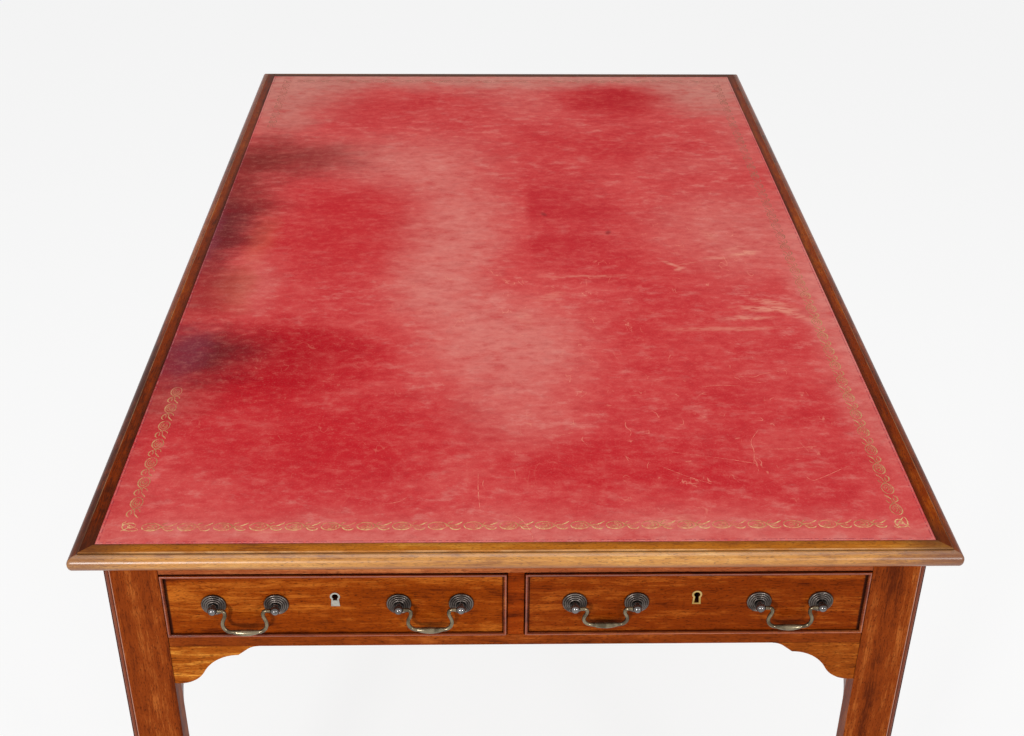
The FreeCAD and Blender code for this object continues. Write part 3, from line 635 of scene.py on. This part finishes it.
deep_areas = [(-0.3, -0.335, 0.15, 0.13, 0, 0.95), (0.205, 0.585, 0.11, 0.1, 0, 0.5)]
brown_stains = [
    (-0.425, 0.3, 0.22, 0.14, 0, 1.0),
    (-0.3, 0.32, 0.14, 0.11, 0, 0.45),
    (-0.43, 0.13, 0.12, 0.19, 0, 0.95),
    (-0.435, -0.15, 0.09, 0.18, 0, 0.6),
    (-0.435, -0.43, 0.1, 0.1, 0, 0.6),
    (-0.435, -0.58, 0.05, 0.2, 0, 0.2),
]
dark_stains = [(-0.43, 0.03, 0.085, 0.2, 0, 0.95), (-0.4, -0.33, 0.12, 0.105, 0, 0.95)]
orange_stains = [(-0.362, 0.0, 0.035, 0.13, 0, 0.4), (-0.385, -0.15, 0.04, 0.1, 0, 0.45)]
violet_stains = [(-0.415, -0.33, 0.045, 0.11, 0, 0.55), (-0.434, 0.02, 0.018, 0.16, 0, 0.45)]
nicks = [(0.057, 0.087, 0.006, 0.012, 20, 0.6), (0.15, 0.023, 0.006, 0.012, -15, 0.6)]

# Rubbed streaks of the hide, as above
scuffs = [
    (0.341, -0.049, 0.034, 0.012, 12, 0.95),
    (0.231, -0.08, 0.018, 0.006, -35, 0.75),
    (0.241, -0.094, 0.014, 0.006, 40, 0.7),
    (0.256, -0.078, 0.02, 0.004, 10, 0.5),
    (0.345, -0.214, 0.06, 0.013, -5, 0.8),
    (0.353, -0.196, 0.04, 0.01, -18, 0.65),
    (0.378, -0.229, 0.04, 0.012, -40, 0.65),
    (0.318, -0.24, 0.048, 0.01, 3, 0.65),
    (0.28, -0.268, 0.11, 0.009, 1, 0.45),
    (0.3, -0.062, 0.03, 0.008, 0, 0.55),
    (0.16, -0.68, 0.03, 0.014, 18, 0.55),
    (0.33, -0.03, 0.034, 0.008, 20, 0.4),
    (0.3, 0.01, 0.012, 0.034, 20, 0.3),
    (0.057, -0.177, 0.034, 0.012, 35, 0.4),
    (0.02, -0.24, 0.014, 0.034, 10, 0.3),
    (0.11, -0.12, 0.09, 0.006, 2, 0.45),
    (-0.25, -0.69, 0.06, 0.01, 12, 0.3),
]
# Where the hide is finely scratched
scratched_areas = [
    (0.2, -0.48, 0.28, 0.26, 0, 0.55),
    (0.05, -0.18, 0.24, 0.18, 0, 0.65),
    (0.3, 0.0, 0.16, 0.28, 0, 0.6),
    (-0.2, -0.4, 0.3, 0.34, 0, 0.2),
]

# Tones of the hide and what is laid over it: lists of areas with their tones, and tints that follow a
# noise, with its values where the tint is nothing and where it is full, tone and strength
own_reds = ((200, 52, 56), (210, 74, 73))
faded_and_sheen_layers = [(faded_areas, (216, 121, 112)), (bleached_and_sheen_areas, (203, 135, 122))]
streak_tints = [
    ("streaks", 0.48, 0.70, (196, 56, 58), 0.56),
    ("streaks", 0.50, 0.30, (228, 150, 138), 0.38),
]
rich_layers = [(rich_areas, (193, 25, 36))]
covered_tone = (189, 34, 43)
stain_layers = [
    (deep_areas, (172, 6, 24)),
    (orange_stains, (206, 98, 72)),
    (brown_stains, (126, 33, 29)),
    (dark_stains, (97, 20, 26)),
    (violet_stains, (132, 54, 70)),
]
fine_tints = [
    ("patches", 0.46, 0.74, (232, 138, 124), 0.13),
    ("patches", 0.52, 0.26, (168, 22, 34), 0.24),
    ("mottle", 0.46, 0.78, (236, 150, 134), 0.20),
    ("mottle", 0.54, 0.24, (150, 20, 30), 0.24),
    ("specks", 0.52, 0.74, (242, 176, 156), 0.10),
]
scuff_tone = (228, 146, 126)
scratch_tone = (236, 152, 128)
bared_tones = ((228, 138, 116), (206, 84, 78))
nick_tone = (120, 40, 40)
# Pricked lines near the hide's edge: how far in, the noise that breaks them, tone and strength
pricked_lines = [
    ((0.0027, 0.0036), (0.42, 0.54), (130, 34, 54), 0.5),
    ((0.0012, 0.0021), (0.40, 0.58), (220, 168, 164), 0.2),
]
hide_rim_tone = (64, 22, 26)
# Gold leaf, where it is whole, thin, lost, and browner along the front
gilt_tones = {
    "bright_gilt": ((196, 140, 92), (214, 176, 122)),
    "dull_gilt": ((172, 104, 70), (196, 138, 92)),
}
thin_tone = (206, 92, 80)
lost_tones = ((150, 92, 68), (182, 92, 80))
front_tone = (164, 100, 70)


def paint_areas(shader, areas, tone, place, core, ragged=0.0, kept=1.0):
    """Areas in one tone; kept is what is left of them."""
    for *area, strength in areas:
        mask = shader.times(shader.spot(place, area, core, ragged), kept)
        shader.tint(tone, mask, strength)


def paint_layers(shader, layers, place, ragged):
    for areas, tone in layers:
        paint_areas(shader, areas, tone, place, area_core, ragged)


def paint_tints(shader, noises, tints):
    for key, none_at, full_at, tone, strength in tints:
        shader.tint(tone, shader.span(noises[key], none_at, full_at), strength)


def paint_covered(shader, place, ragged):
    """The patch that stayed red under something with a straight side, with a paler band across it."""
    x, y = shader.axes(shader.warped(shader.place, *covered_warp))[:2]
    inside = shader.span(x, covered_side - covered_blur, covered_side + covered_blur)
    mask = shader.times(inside, shader.spot(place, covered_area, covered_core, ragged))
    paler = shader.times(shader.band(y, *paler_band, paler_blur), paler_strength)
    shader.tint(covered_tone, mask, shader.math("SUBTRACT", covered_strength, paler))


def paint_scuffs(shader, rubs):
    """Rubbed streaks, uneven along their edges and broken by the hide's grain."""
    place = shader.warped(shader.place, *scuff_warp)
    kept = shader.span(rubs, *rub_span)
    paint_areas(shader, scuffs, scuff_tone, place, scuff_core, kept=kept)


def paint_scratches(shader):
    """Hair scratches, in broken lengths."""
    bent = shader.warped(shader.place, *hair_warp)
    lines = 0.0
    for stretch, level, scale in hair_sets:
        drawn = shader.stretched(bent, stretch, (0.0, 0.0, level))
        lines = shader.math("MAXIMUM", lines, shader.hair_lines(drawn, scale))
    broken = shader.span(shader.noise(shader.place, *break_noise), *break_span)
    lines = shader.times(lines, broken)
    looks = (scratched_areas, scratch_tone, shader.place, scratched_core)
    paint_areas(shader, *looks, kept=lines)


def paint_hide_edge(shader):
    """The dark and pale pricked lines near the hide's edge, and its dark rim."""
    depth = shader.inset(hide_half)
    ticks = shader.noise(shader.place, *tick_noise)
    for reach, tick_span, tone, strength in pricked_lines:
        line = shader.band(depth, *reach, line_blur)
        pricks = shader.times(line, shader.span(ticks, *tick_span))
        shader.tint(tone, pricks, strength)
    shader.tint(hide_rim_tone, shader.fade(depth, *hide_rim), hide_rim_strength)


def make_hide():
    """Red hide that has faded, stained and scratched in use."""
    shader = Shader("red_hide")
    place = shader.warped(shader.warped(shader.place, *area_warp), *edge_warp)
    noises = shader.noises(shader.place, hide_noises)
    drift = shader.math("SUBTRACT", noises["patches"], noise_middle)
    ragged = shader.times(drift, ragged_strength)
    shader.colour = shader.blend(shader.span(noises["clouds"], *own_red_span), *own_reds)
    paint_layers(shader, faded_and_sheen_layers, place, ragged)
    paint_tints(shader, noises, streak_tints)
    paint_layers(shader, rich_layers, place, ragged)
    paint_covered(shader, place, ragged)
    paint_layers(shader, stain_layers, place, ragged)
    paint_tints(shader, noises, fine_tints)
    paint_scuffs(shader, noises["rubs"])
    paint_scratches(shader)
    paint_areas(shader, nicks, nick_tone, shader.place, area_core)
    paint_hide_edge(shader)
    pebble = shader.span(shader.cells(shader.place, pebble_scale), 0.0, pebble_wall)
    bent = shader.warped(shader.place, *crease_warp)
    creases = shader.span(shader.cells(bent, crease_scale), 0.0, crease_wall)
    return shader.finish(
        Roughness=shader.uneven(noises["mottle"], *hide_gloss),
        Specular_IOR_Level=0.03,
        Normal=shader.bump(shader.math("ADD", pebble, creases), *fine_bump),
    )


def make_gilt(name):
    """Gold leaf pressed into the hide, rubbed thin in places and nearly gone from the far half."""
    shader = Shader(name)
    x, y = shader.axes(shader.warped(shader.place, *gilt_warp))[:2]
    kept_right = shader.times(shader.fade(y, *kept_on_right), shader.span(x, *right_half))
    kept = shader.math("MAXIMUM", shader.fade(y, *kept_on_left), kept_right)
    rubs = shader.noise(shader.place, *gilt_rubs)
    glints = shader.noise(shader.place, *gilt_glints)
    shader.colour = shader.blend(shader.span(glints, *glint_span), *gilt_tones[name])
    shader.tint(thin_tone, shader.span(rubs, *thin_span), thin_strength)
    along = shader.axes(shader.place)[1]
    shader.tint(front_tone, shader.span(along, *front_run), front_strength)
    lost = shader.blend(shader.span(rubs, *lost_span), *lost_tones)
    shader.colour = shader.mix(kept, lost, shader.colour)
    return shader.finish(Metallic=0.15, Roughness=0.5, Specular_IOR_Level=0.1)


def make_scratch():
    """The pale flesh of the hide, bared along a scratch and dirtied again."""
    shader = Shader("bared_hide")
    dirt = shader.noise(shader.place, *bared_noise)
    shader.colour = shader.blend(shader.span(dirt, *bared_span), *bared_tones)
    return shader.finish(Roughness=0.6, Specular_IOR_Level=0.05)


# Shapes

def make_piece(name, builder, angle, *materials):
    """A new object at the origin, as the frame's nodes are, smooth but for edges sharper than angle."""
    mesh = bpy.data.meshes.new(name)
    bmesh.ops.recalc_face_normals(builder, faces=builder.faces)
    builder.to_mesh(mesh)
    builder.free()
    for material in materials:
        mesh.materials.append(material)
    mesh.polygons.foreach_set("use_smooth", [True] * len(mesh.polygons))
    mesh.set_sharp_from_angle(angle=angle)
    piece = bpy.data.objects.new(name, mesh)
    bpy.context.scene.collection.objects.link(piece)
    return piece


def modify(piece, name, kind, **settings):
    modifier = piece.modifiers.new(name, kind)
    for key, value in settings.items():
        setattr(modifier, key, value)


def soften(node, width):
    """Eased edges on a node's flat faces."""
    piece = frame["nodes"][node]
    edges = {"limit_method": "ANGLE", "angle_limit": sharp_angle, "use_clamp_overlap": True}
    modify(piece, "weld", "WELD", merge_threshold=weld_distance)
    modify(piece, "flats", "DECIMATE", decimate_type="DISSOLVE", angle_limit=flat_angle)
    modify(piece, "eased_edges", "BEVEL", width=width, segments=bevel_steps, **edges)
    modify(piece, "normals", "WEIGHTED_NORMAL", keep_sharp=True)


def skin(builder, rows, material_indices):
    """Faces round a run of sections, and a cap at each end."""
    for first, second in zip(rows, rows[1:]):
        for index, material_index in enumerate(material_indices):
            after = (index + 1) % len(first)
            face = builder.faces.new((first[index], first[after], second[after], second[index]))
            face.material_index = material_index
    builder.faces.new(rows[0])
    builder.faces.new(rows[-1][::-1])


def tangent_arc(start, heading, end):
    """Points of an arc that leaves start along heading and comes to end, without start itself."""
    chord = end - start
    side = chord - heading * chord.dot(heading)
    side.normalize()
    radius = chord.dot(chord) / (2 * chord.dot(side))
    centre = start + side * radius
    reach = end - centre
    sweep = math.atan2(reach.dot(heading), reach.dot(-side))
    points = []
    for index in range(1, arc_steps + 1):
        angle = sweep * index / arc_steps
        points.append(centre - side * (radius * math.cos(angle)) + heading * (radius * math.sin(angle)))
    return points


def moulding_profile(low, high, width):
    """The moulding's section: distance in from its nose, and height."""
    thumb = width - border_width
    nose = Vector((0.0, high - nose_drop))
    quirk = Vector((thumb, high - quirk_depth))
    foot = Vector((moulding_foot_setback, low))
    upper = tangent_arc(nose, Vector((0.0, 1.0)), quirk)
    lower = tangent_arc(nose, Vector((0.0, -1.0)), foot)
    arris = [Vector((thumb, high - arris_radius)), Vector((thumb + arris_radius, high))]
    inner = [Vector((width - arris_radius, high)), Vector((width, high - arris_radius))]
    return [nose] + upper + arris + inner + [Vector((width, low))] + lower[::-1]


def make_moulding(node, flat_material, nose_material):
    """One mitred length of moulding, with its nose turned smoothly at the table's corners."""
    low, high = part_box(node)
    along = 0 if high.x - low.x > high.y - low.y else 1
    out = 1 - along
    sign = 1.0 if high[out] + low[out] > 0 else -1.0
    profile = moulding_profile(low.z, high.z, moulding_width)
    shares = [index / mitre_steps for index in range(mitre_steps + 1)]
    builder = bmesh.new()
    rows = []
    for end in (-1.0, 1.0):
        for share in shares if end < 0 else shares[::-1]:
            row = []
            for depth, height in profile:
                run, across = corner_path(depth, share)
                point = [0.0, 0.0, height]
                point[along] = end * (top_half[along] - run)
                point[out] = sign * (top_half[out] - across)
                row.append(builder.verts.new(point))
            rows.append(row)
    flat_count = len(profile) - 2 * arc_steps
    skin(builder, rows, [1] * arc_steps + [0] * flat_count + [1] * arc_steps)
    piece = make_piece(node + "_run", builder, sharp_angle, flat_material, nose_material)
    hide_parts(node)
    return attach(piece, "table_frame")


def corner_path(depth, share):
    """Distances in from the two outer edges, from the mitre to the straight run, at one depth."""
    radius = max(corner_radius - depth, 0.0)
    start = max(corner_radius, depth)
    bend = radius * math.pi / 4
    length = bend + mitre_zone - start
    travelled = share * length
    if travelled < bend:
        angle = math.pi / 4 - travelled / radius
        return corner_radius - radius * math.sin(angle), corner_radius - radius * math.cos(angle)
    return start + travelled - bend, depth


def grid_stations(low, high, count):
    """Places across the hide, closer together at its edges."""
    inner_low = low + hide_edge_steps[-1]
    inner_high = high - hide_edge_steps[-1]
    middle = [inner_low + (inner_high - inner_low) * index / count for index in range(1, count)]
    last = [high - step for step in hide_edge_steps[::-1]]
    return [low + step for step in hide_edge_steps] + middle + last


def hide_height(x, y):
    """The height of the hide's uneven top, which thins at its edges."""
    edge = min(x - hide_low.x, hide_high.x - x, y - hide_low.y, hide_high.y - y)
    fall = hide_edge_drop * max(0.0, 1 - edge / hide_edge_reach) ** 2
    wave = noise.noise(Vector((x, y, 0.0)) / hide_relief_pitch)
    return hide_high.z - stroke_rise - hide_relief - fall + hide_relief * wave


def make_leather(material):
    """The hide as one sheet: a slightly uneven top, thinned at its edges."""
    columns = grid_stations(hide_low.x, hide_high.x, hide_columns)
    rows = grid_stations(hide_low.y, hide_high.y, hide_rows)
    builder = bmesh.new()
    grid = [[builder.verts.new((x, y, hide_height(x, y))) for x in columns] for y in rows]
    for first, second in zip(grid, grid[1:]):
        for index in range(len(columns) - 1):
            builder.faces.new((first[index], first[index + 1], second[index + 1], second[index]))
    rim = [edge for edge in builder.edges if edge.is_boundary]
    walls = bmesh.ops.extrude_edge_only(builder, edges=rim)["geom"]
    for vert in (item for item in walls if isinstance(item, bmesh.types.BMVert)):
        vert.co.z = hide_low.z
    floor_edges = [edge for edge in builder.edges if edge.is_boundary]
    bmesh.ops.contextual_create(builder, geom=floor_edges)
    piece = make_piece("leather_hide", builder, sharp_angle, material)
    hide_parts("leather_inset")
    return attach(piece, "table_frame")


# Strokes of one repeat of the border: along the repeat from 0 to 1, across the band from 0, outside, to 1
bright_strokes = [
    [(0.0, 0.46), (0.06, 0.2), (0.18, 0.05), (0.32, 0.04), (0.44, 0.16), (0.52, 0.36)],
    [(0.6, 0.36), (0.66, 0.12), (0.76, 0.02), (0.86, 0.06), (0.92, 0.24)],
    [(0.74, 0.56), (0.84, 0.7), (0.97, 0.98)],
]
dull_strokes = [
    [(0.52, 0.36), (0.5, 0.64), (0.42, 0.86), (0.28, 0.96), (0.14, 0.9), (0.04, 0.72), (0.0, 0.46)],
    [(0.1, 0.4), (0.2, 0.22), (0.33, 0.22), (0.42, 0.38), (0.41, 0.6), (0.32, 0.74), (0.2, 0.7)],
    [(0.16, 0.56), (0.22, 0.4), (0.31, 0.4), (0.33, 0.54), (0.26, 0.6)],
    [(0.44, 0.84), (0.54, 0.6), (0.62, 0.3)],
    [(0.46, 0.18), (0.56, 0.42), (0.66, 0.56), (0.76, 0.56)],
    [(0.56, 0.7), (0.6, 0.9), (0.7, 1.0)],
    [(0.64, 0.3), (0.74, 0.36), (0.84, 0.32)],
]
corner_strokes = [
    [
        (1.0, 0.1), (0.6, 0.02), (0.22, 0.12), (0.04, 0.45), (0.1, 0.85), (0.42, 1.02), (0.72, 0.86),
        (0.76, 0.56), (0.54, 0.38), (0.34, 0.52), (0.46, 0.68),
    ],
    [(0.02, 0.7), (0.0, 1.0), (0.16, 1.2)],
    [(0.2, 0.9), (0.6, 0.6), (0.98, 0.2)],
    [(0.0, 0.0), (0.3, 0.3), (0.6, 0.6)],
]
# Longer scratches in the hide
scratch_paths = [
    [(0.178, -0.551), (0.208, -0.558), (0.241, -0.566), (0.271, -0.575)],
    [(0.164, -0.58), (0.187, -0.597), (0.215, -0.613)],
    [(0.268, -0.384), (0.296, -0.389), (0.31, -0.382), (0.343, -0.372)],
    [(0.292, -0.401), (0.302, -0.402), (0.311, -0.4)],
    [(0.283, -0.507), (0.271, -0.53), (0.271, -0.55), (0.267, -0.573)],
    [(0.284, -0.546), (0.314, -0.545), (0.345, -0.54)],
    [(-0.041, -0.59), (-0.041, -0.622), (-0.039, -0.656)],
    [(-0.035, -0.604), (-0.036, -0.612), (-0.034, -0.62)],
    [(-0.001, -0.585), (0.0, -0.594), (0.0, -0.602)],
    [(-0.015, -0.667), (0.002, -0.672), (0.013, -0.693), (0.016, -0.71)],
    [(-0.146, -0.647), (-0.127, -0.643), (-0.117, -0.634)],
    [(0.039, -0.514), (0.053, -0.516), (0.068, -0.51)],
    [(0.319, -0.597), (0.325, -0.606), (0.335, -0.603), (0.371, -0.58)],
    [(0.228, -0.412), (0.253, -0.408), (0.277, -0.41)],
]


def smooth_path(points):
    """A rounded line through the points."""
    vectors = [Vector(point) for point in points]
    padded = [vectors[0] * 2 - vectors[1]] + vectors + [vectors[-1] * 2 - vectors[-2]]
    path = []
    for a, b, c, d in zip(padded, padded[1:], padded[2:], padded[3:]):
        for index in range(stroke_steps):
            t = index / stroke_steps
            squared = (a * 2 - b * 5 + c * 4 - d) * t ** 2
            cubed = (b * 3 - a - c * 3 + d) * t ** 3
            path.append((b * 2 + (c - a) * t + squared + cubed) / 2)
    return path + [vectors[-1]]


def add_stroke(builder, points, width, material_index=0):
    """A low ridge through points on the hide, tapered at both ends."""
    path = smooth_path(points)
    rows = []
    for index, point in enumerate(path):
        ahead = path[min(index + 1, len(path) - 1)] - path[max(index - 1, 0)]
        side = Vector((-ahead.y, ahead.x)).normalized()
        swell = math.sqrt(math.sin(math.pi * (index / (len(path) - 1))))
        half = width / 2 * (stroke_end_share + (1 - stroke_end_share) * swell)
        row = []
        for reach, rise in ((half, -stroke_sink), (0.0, stroke_rise), (-half, -stroke_sink)):
            place = point + side * reach
            row.append(builder.verts.new((place.x, place.y, hide_height(place.x, place.y) + rise)))
        rows.append(row)
    skin(builder, rows, [material_index] * len(rows[0]))


def draw_strokes(builder, strokes, origin, heading, length, width, material_index):
    """Strokes of the border from origin along heading, with the middle of the hide on the left."""
    inward = Vector((-heading.y, heading.x))
    for stroke in strokes:
        points = [origin + heading * (u * length) + inward * (v * border_band) for u, v in stroke]
        add_stroke(builder, points, width, material_index)


def make_border(bright_material, dull_material):
    """The gilt scroll round the hide: a corner turn and then repeats along each side."""
    left, front = hide_low.x + border_inset, hide_low.y + border_inset
    right, rear = hide_high.x - border_inset, hide_high.y - border_inset
    turns = [Vector(place) for place in ((left, front), (right, front), (right, rear), (left, rear))]
    builder = bmesh.new()
    for start, end in zip(turns, turns[1:] + turns[:1]):
        heading = (end - start).normalized()
        run = (end - start).length - 2 * border_band
        count = int(run / border_repeat)
        lead = border_band + (run - count * border_repeat) / 2
        draw_strokes(builder, corner_strokes, start, heading, corner_turn, dull_width, 0)
        for index in range(count):
            origin = start + heading * (lead + index * border_repeat)
            if heading.y < 0 and rubbed_away[0] < origin.y < rubbed_away[1]:
                continue
            draw_strokes(builder, bright_strokes, origin, heading, border_repeat, bright_width, 0)
            draw_strokes(builder, dull_strokes, origin, heading, border_repeat, dull_width, 1)
    piece = make_piece("tooled_border", builder, stroke_sharp_angle, bright_material, dull_material)
    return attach(piece, "table_frame")


def make_scratches(material):
    """The longer scratches, where the surface of the hide is torn."""
    builder = bmesh.new()
    for points in scratch_paths:
        add_stroke(builder, points, scratch_width)
    piece = make_piece("hide_scratches", builder, stroke_sharp_angle, material)
    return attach(piece, "table_frame")


# Stage, lamps and camera

def make_floor():
    builder = bmesh.new()
    bmesh.ops.create_grid(builder, x_segments=1, y_segments=1, size=floor_half)
    nodes = Nodes(bpy.data.materials.new("pale_floor"))
    matte = nodes.add("BsdfDiffuse", {"Color": (floor_tone, floor_tone, floor_tone)}).outputs[0]
    glow = nodes.add("Emission").outputs[0]
    surface = nodes.whiter_when_seen(matte, glow, floor_glow_share)
    nodes.add("OutputMaterial", {"Surface": surface})
    floor = make_piece("floor", builder, sharp_angle, nodes.owner)


def make_sky():
    world = bpy.data.worlds.new("studio")
    bpy.context.scene.world = world
    nodes = Nodes(world)
    white = (1.0, 1.0, 1.0)
    soft = nodes.add("Background", {"Color": white, "Strength": sky_strength}).outputs[0]
    bright = nodes.add("Background", {"Color": white}).outputs[0]
    nodes.add("OutputWorld", {"Surface": nodes.whiter_when_seen(soft, bright)})


def make_lamps():
    for name, (place, size, power) in lamps.items():
        light = bpy.data.lights.new(name, "AREA")
        light.shape = "SQUARE"
        light.size = size
        light.energy = power
        lamp = bpy.data.objects.new(name, light)
        lamp.location = place
        lamp.rotation_euler = (lamp_aim - place).to_track_quat("-Z", "Y").to_euler()
        bpy.context.scene.collection.objects.link(lamp)


def make_camera():
    data = bpy.data.cameras.new("photo_camera")
    data.sensor_width = sensor_width_mm
    data.lens = focal_pixels * sensor_width_mm / photo_width
    camera = bpy.data.objects.new("photo_camera", data)
    turn = Matrix.Rotation(-camera_yaw, 4, "Z") @ Matrix.Rotation(math.pi / 2 - camera_pitch, 4, "X")
    roll = Matrix.Rotation(camera_roll, 4, "Z")
    camera.matrix_world = Matrix.Translation(camera_place) @ turn @ roll
    bpy.context.scene.collection.objects.link(camera)
    bpy.context.scene.camera = camera


# Dressing the frame

# Dark, middle and light of each timber
wood_tones = {
    "leg": ((88, 33, 8), (128, 54, 13), (168, 90, 36)),
    # The top rail's tones are a lighter copy of the rail's, painted light against the shade under the top
    "top_rail": ((100, 44, 24), (150, 76, 40), (186, 112, 64)),
    "rail": ((78, 28, 5), (126, 53, 11), (166, 86, 32)),
    "muntin": ((80, 24, 2), (131, 48, 3), (166, 76, 18)),
    # The left drawer, bead and bracket have lighter tones than the right ones: painted light, as lit from
    # the left
    "drawer_left": ((80, 24, 1), (131, 53, 3), (176, 94, 26)),
    "drawer_right": ((68, 19, 1), (120, 45, 3), (158, 78, 20)),
    "bead_left": ((88, 28, 2), (130, 52, 5), (172, 90, 28)),
    "bead_right": ((74, 22, 2), (118, 45, 5), (154, 76, 24)),
    "bracket_left": ((76, 26, 2), (152, 75, 15), (222, 146, 56)),
    "bracket_right": ((66, 22, 2), (140, 66, 14), (204, 124, 46)),
    "flat_front": ((126, 62, 4), (176, 100, 14), (206, 138, 48)),
    "nose_front": ((136, 78, 20), (184, 122, 46), (212, 156, 80)),
    "flat_side": ((72, 22, 1), (124, 44, 2), (160, 74, 12)),
    "nose_side": ((72, 24, 2), (124, 50, 6), (156, 78, 20)),
    "flat_rear": ((62, 30, 14), (88, 46, 22), (112, 64, 34)),
    "nose_rear": ((62, 30, 14), (88, 46, 22), (112, 64, 34)),
    "oak": ((150, 108, 62), (182, 138, 86), (204, 164, 112)),
    "pine": ((168, 122, 70), (196, 150, 96), (214, 174, 122)),
}
# Roughness and specular level, where a timber's are not the usual ones
wood_gloss = {
    "oak": (0.60, 0.15),
    "pine": (0.65, 0.15),
    "bead_left": (0.24, 0.15),
    "bead_right": (0.24, 0.15),
    "flat_front": (0.34, 0.06),
    "nose_front": (0.34, 0.66),
    "flat_side": (0.34, 0.02),
    "nose_side": (0.26, 0.10),
    "nose_rear": (0.30, 0.10),
}
usual_gloss = (0.36, 0.025)
# Mouldings: width and strength of the flat's darker band beside the hide, and strength of its painted
# arris highlight;
# strengths of the nose's painted rim highlight, of the painted shade on its underside and of its corners
flat_band_and_highlight = {"front": (0.007, 0.4, 0.55), "side": (0.007, 0.55, 0.25), "rear": (0.004, 0.6, 0.2)}
nose_highlight_and_shade = {"front": (0.0, 0.75, 0.6), "side": (0.35, 0.2, 0.3), "rear": (0.3, 0.3, 0.3)}
wood_marks = {"leg": leg_marks}
for side in flat_band_and_highlight:
    wood_marks["flat_" + side] = moulding_marks(*flat_band_and_highlight[side])
    wood_marks["nose_" + side] = nose_marks(*nose_highlight_and_shade[side])
for side in ("left", "right"):
    wood_marks["drawer_" + side] = drawer_marks("drawer_%s_front" % side)
    wood_marks["bead_" + side] = bead_marks("drawer_%s_cock_bead" % side)
# Dark, middle and light of each metal, how metallic it looks, its roughness and the reach of its patina
# and painted shade in hollows
metals = {
    "rose": (((18, 15, 14), (72, 63, 58), (106, 97, 91)), 0.80, 0.34, 0.0018),
    "post": (((28, 25, 24), (88, 84, 82), (120, 116, 115)), 0.85, 0.17, 0.0012),
    "bail": (((22, 17, 10), (84, 73, 55), (130, 117, 93)), 0.70, 0.23, 0.0024),
    "lock": (((70, 48, 18), (176, 140, 78), (206, 174, 112)), 1.0, 0.30, 0.002),
    "silver": (((60, 54, 48), (150, 146, 136), (182, 178, 168)), 1.0, 0.32, 0.002),
    "steel": (((40, 36, 32), (96, 90, 84), (130, 126, 120)), 1.0, 0.42, 0.002),
}
odd_metals = {"drawer_left_escutcheon": "silver", "top_screws": "steel"}
# The look and the grain of the moulding along each edge
moulding_looks = {
    "front": ("front", "x"), "rear": ("rear", "x"), "left": ("side", "y"), "right": ("side", "y"),
}
made_materials = {}


def grain_of(node):
    """The axis along a board: its longest side, or across for the veneered muntin."""
    if node == "front_muntin":
        return "x"
    low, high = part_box(node)
    size = high - low
    return "xyz"[max(range(3), key=lambda axis: size[axis])]


def wood(tone, grain):
    """The material of one timber with one grain direction, made once."""
    key = "%s_%s" % (tone, grain)
    if key not in made_materials:
        gloss = wood_gloss.get(tone, usual_gloss)
        made_materials[key] = make_wood(key, grain, wood_tones[tone], *gloss, wood_marks.get(tone))
    return made_materials[key]


def metal(node):
    """The material of a metal node: the metal that its name holds, or lock brass."""
    key = odd_metals.get(node) or next((name for name in metals if name in node), "lock")
    if key not in made_materials:
        made_materials[key] = make_metal(key + "_metal", *metals[key])
    return made_materials[key]


def tone_of(node, slot_name):
    if slot_name in ("oak", "pine"):
        return slot_name
    if node.endswith("cock_bead"):
        return "bead_left" if "left" in node else "bead_right"
    if node.endswith("front") and node.startswith("drawer"):
        return node[:-len("_front")]
    if node.startswith("bracket"):
        return "bracket_left" if "left" in node else "bracket_right"
    if node.startswith("leg"):
        return "leg"
    return {"front_muntin": "muntin", "front_top_rail": "top_rail"}.get(node, "rail")


def dress_frame():
    for row in frame["record"]["subparts"]:
        node = row["node"]
        slot_name = row["material_slot"]
        if slot_name in ("leather", "edge_mahogany"):
            continue
        if slot_name in ("antique_brass", "lock_brass", "steel"):
            material = metal(node)
        else:
            material = wood(tone_of(node, slot_name), grain_of(node))
        slots = frame["nodes"][node].data.materials
        slots.clear()
        slots.append(material)
    for node in frame["nodes"]:
        if node.startswith("leg"):
            soften(node, leg_softness)
        elif node.startswith("bracket") or node.endswith(("apron", "rail", "muntin")):
            soften(node, wood_softness)


def dress_top():
    hide = make_leather(make_hide())
    border = make_border(make_gilt("bright_gilt"), make_gilt("dull_gilt"))
    scratches = make_scratches(make_scratch())
    for place, (kind, grain) in moulding_looks.items():
        make_moulding("edge_moulding_" + place, wood("flat_" + kind, grain), wood("nose_" + kind, grain))


make_camera()
make_sky()
make_floor()
make_lamps()
dress_frame()
dress_top()

scene = bpy.context.scene
scene.view_settings.view_transform = "Standard"
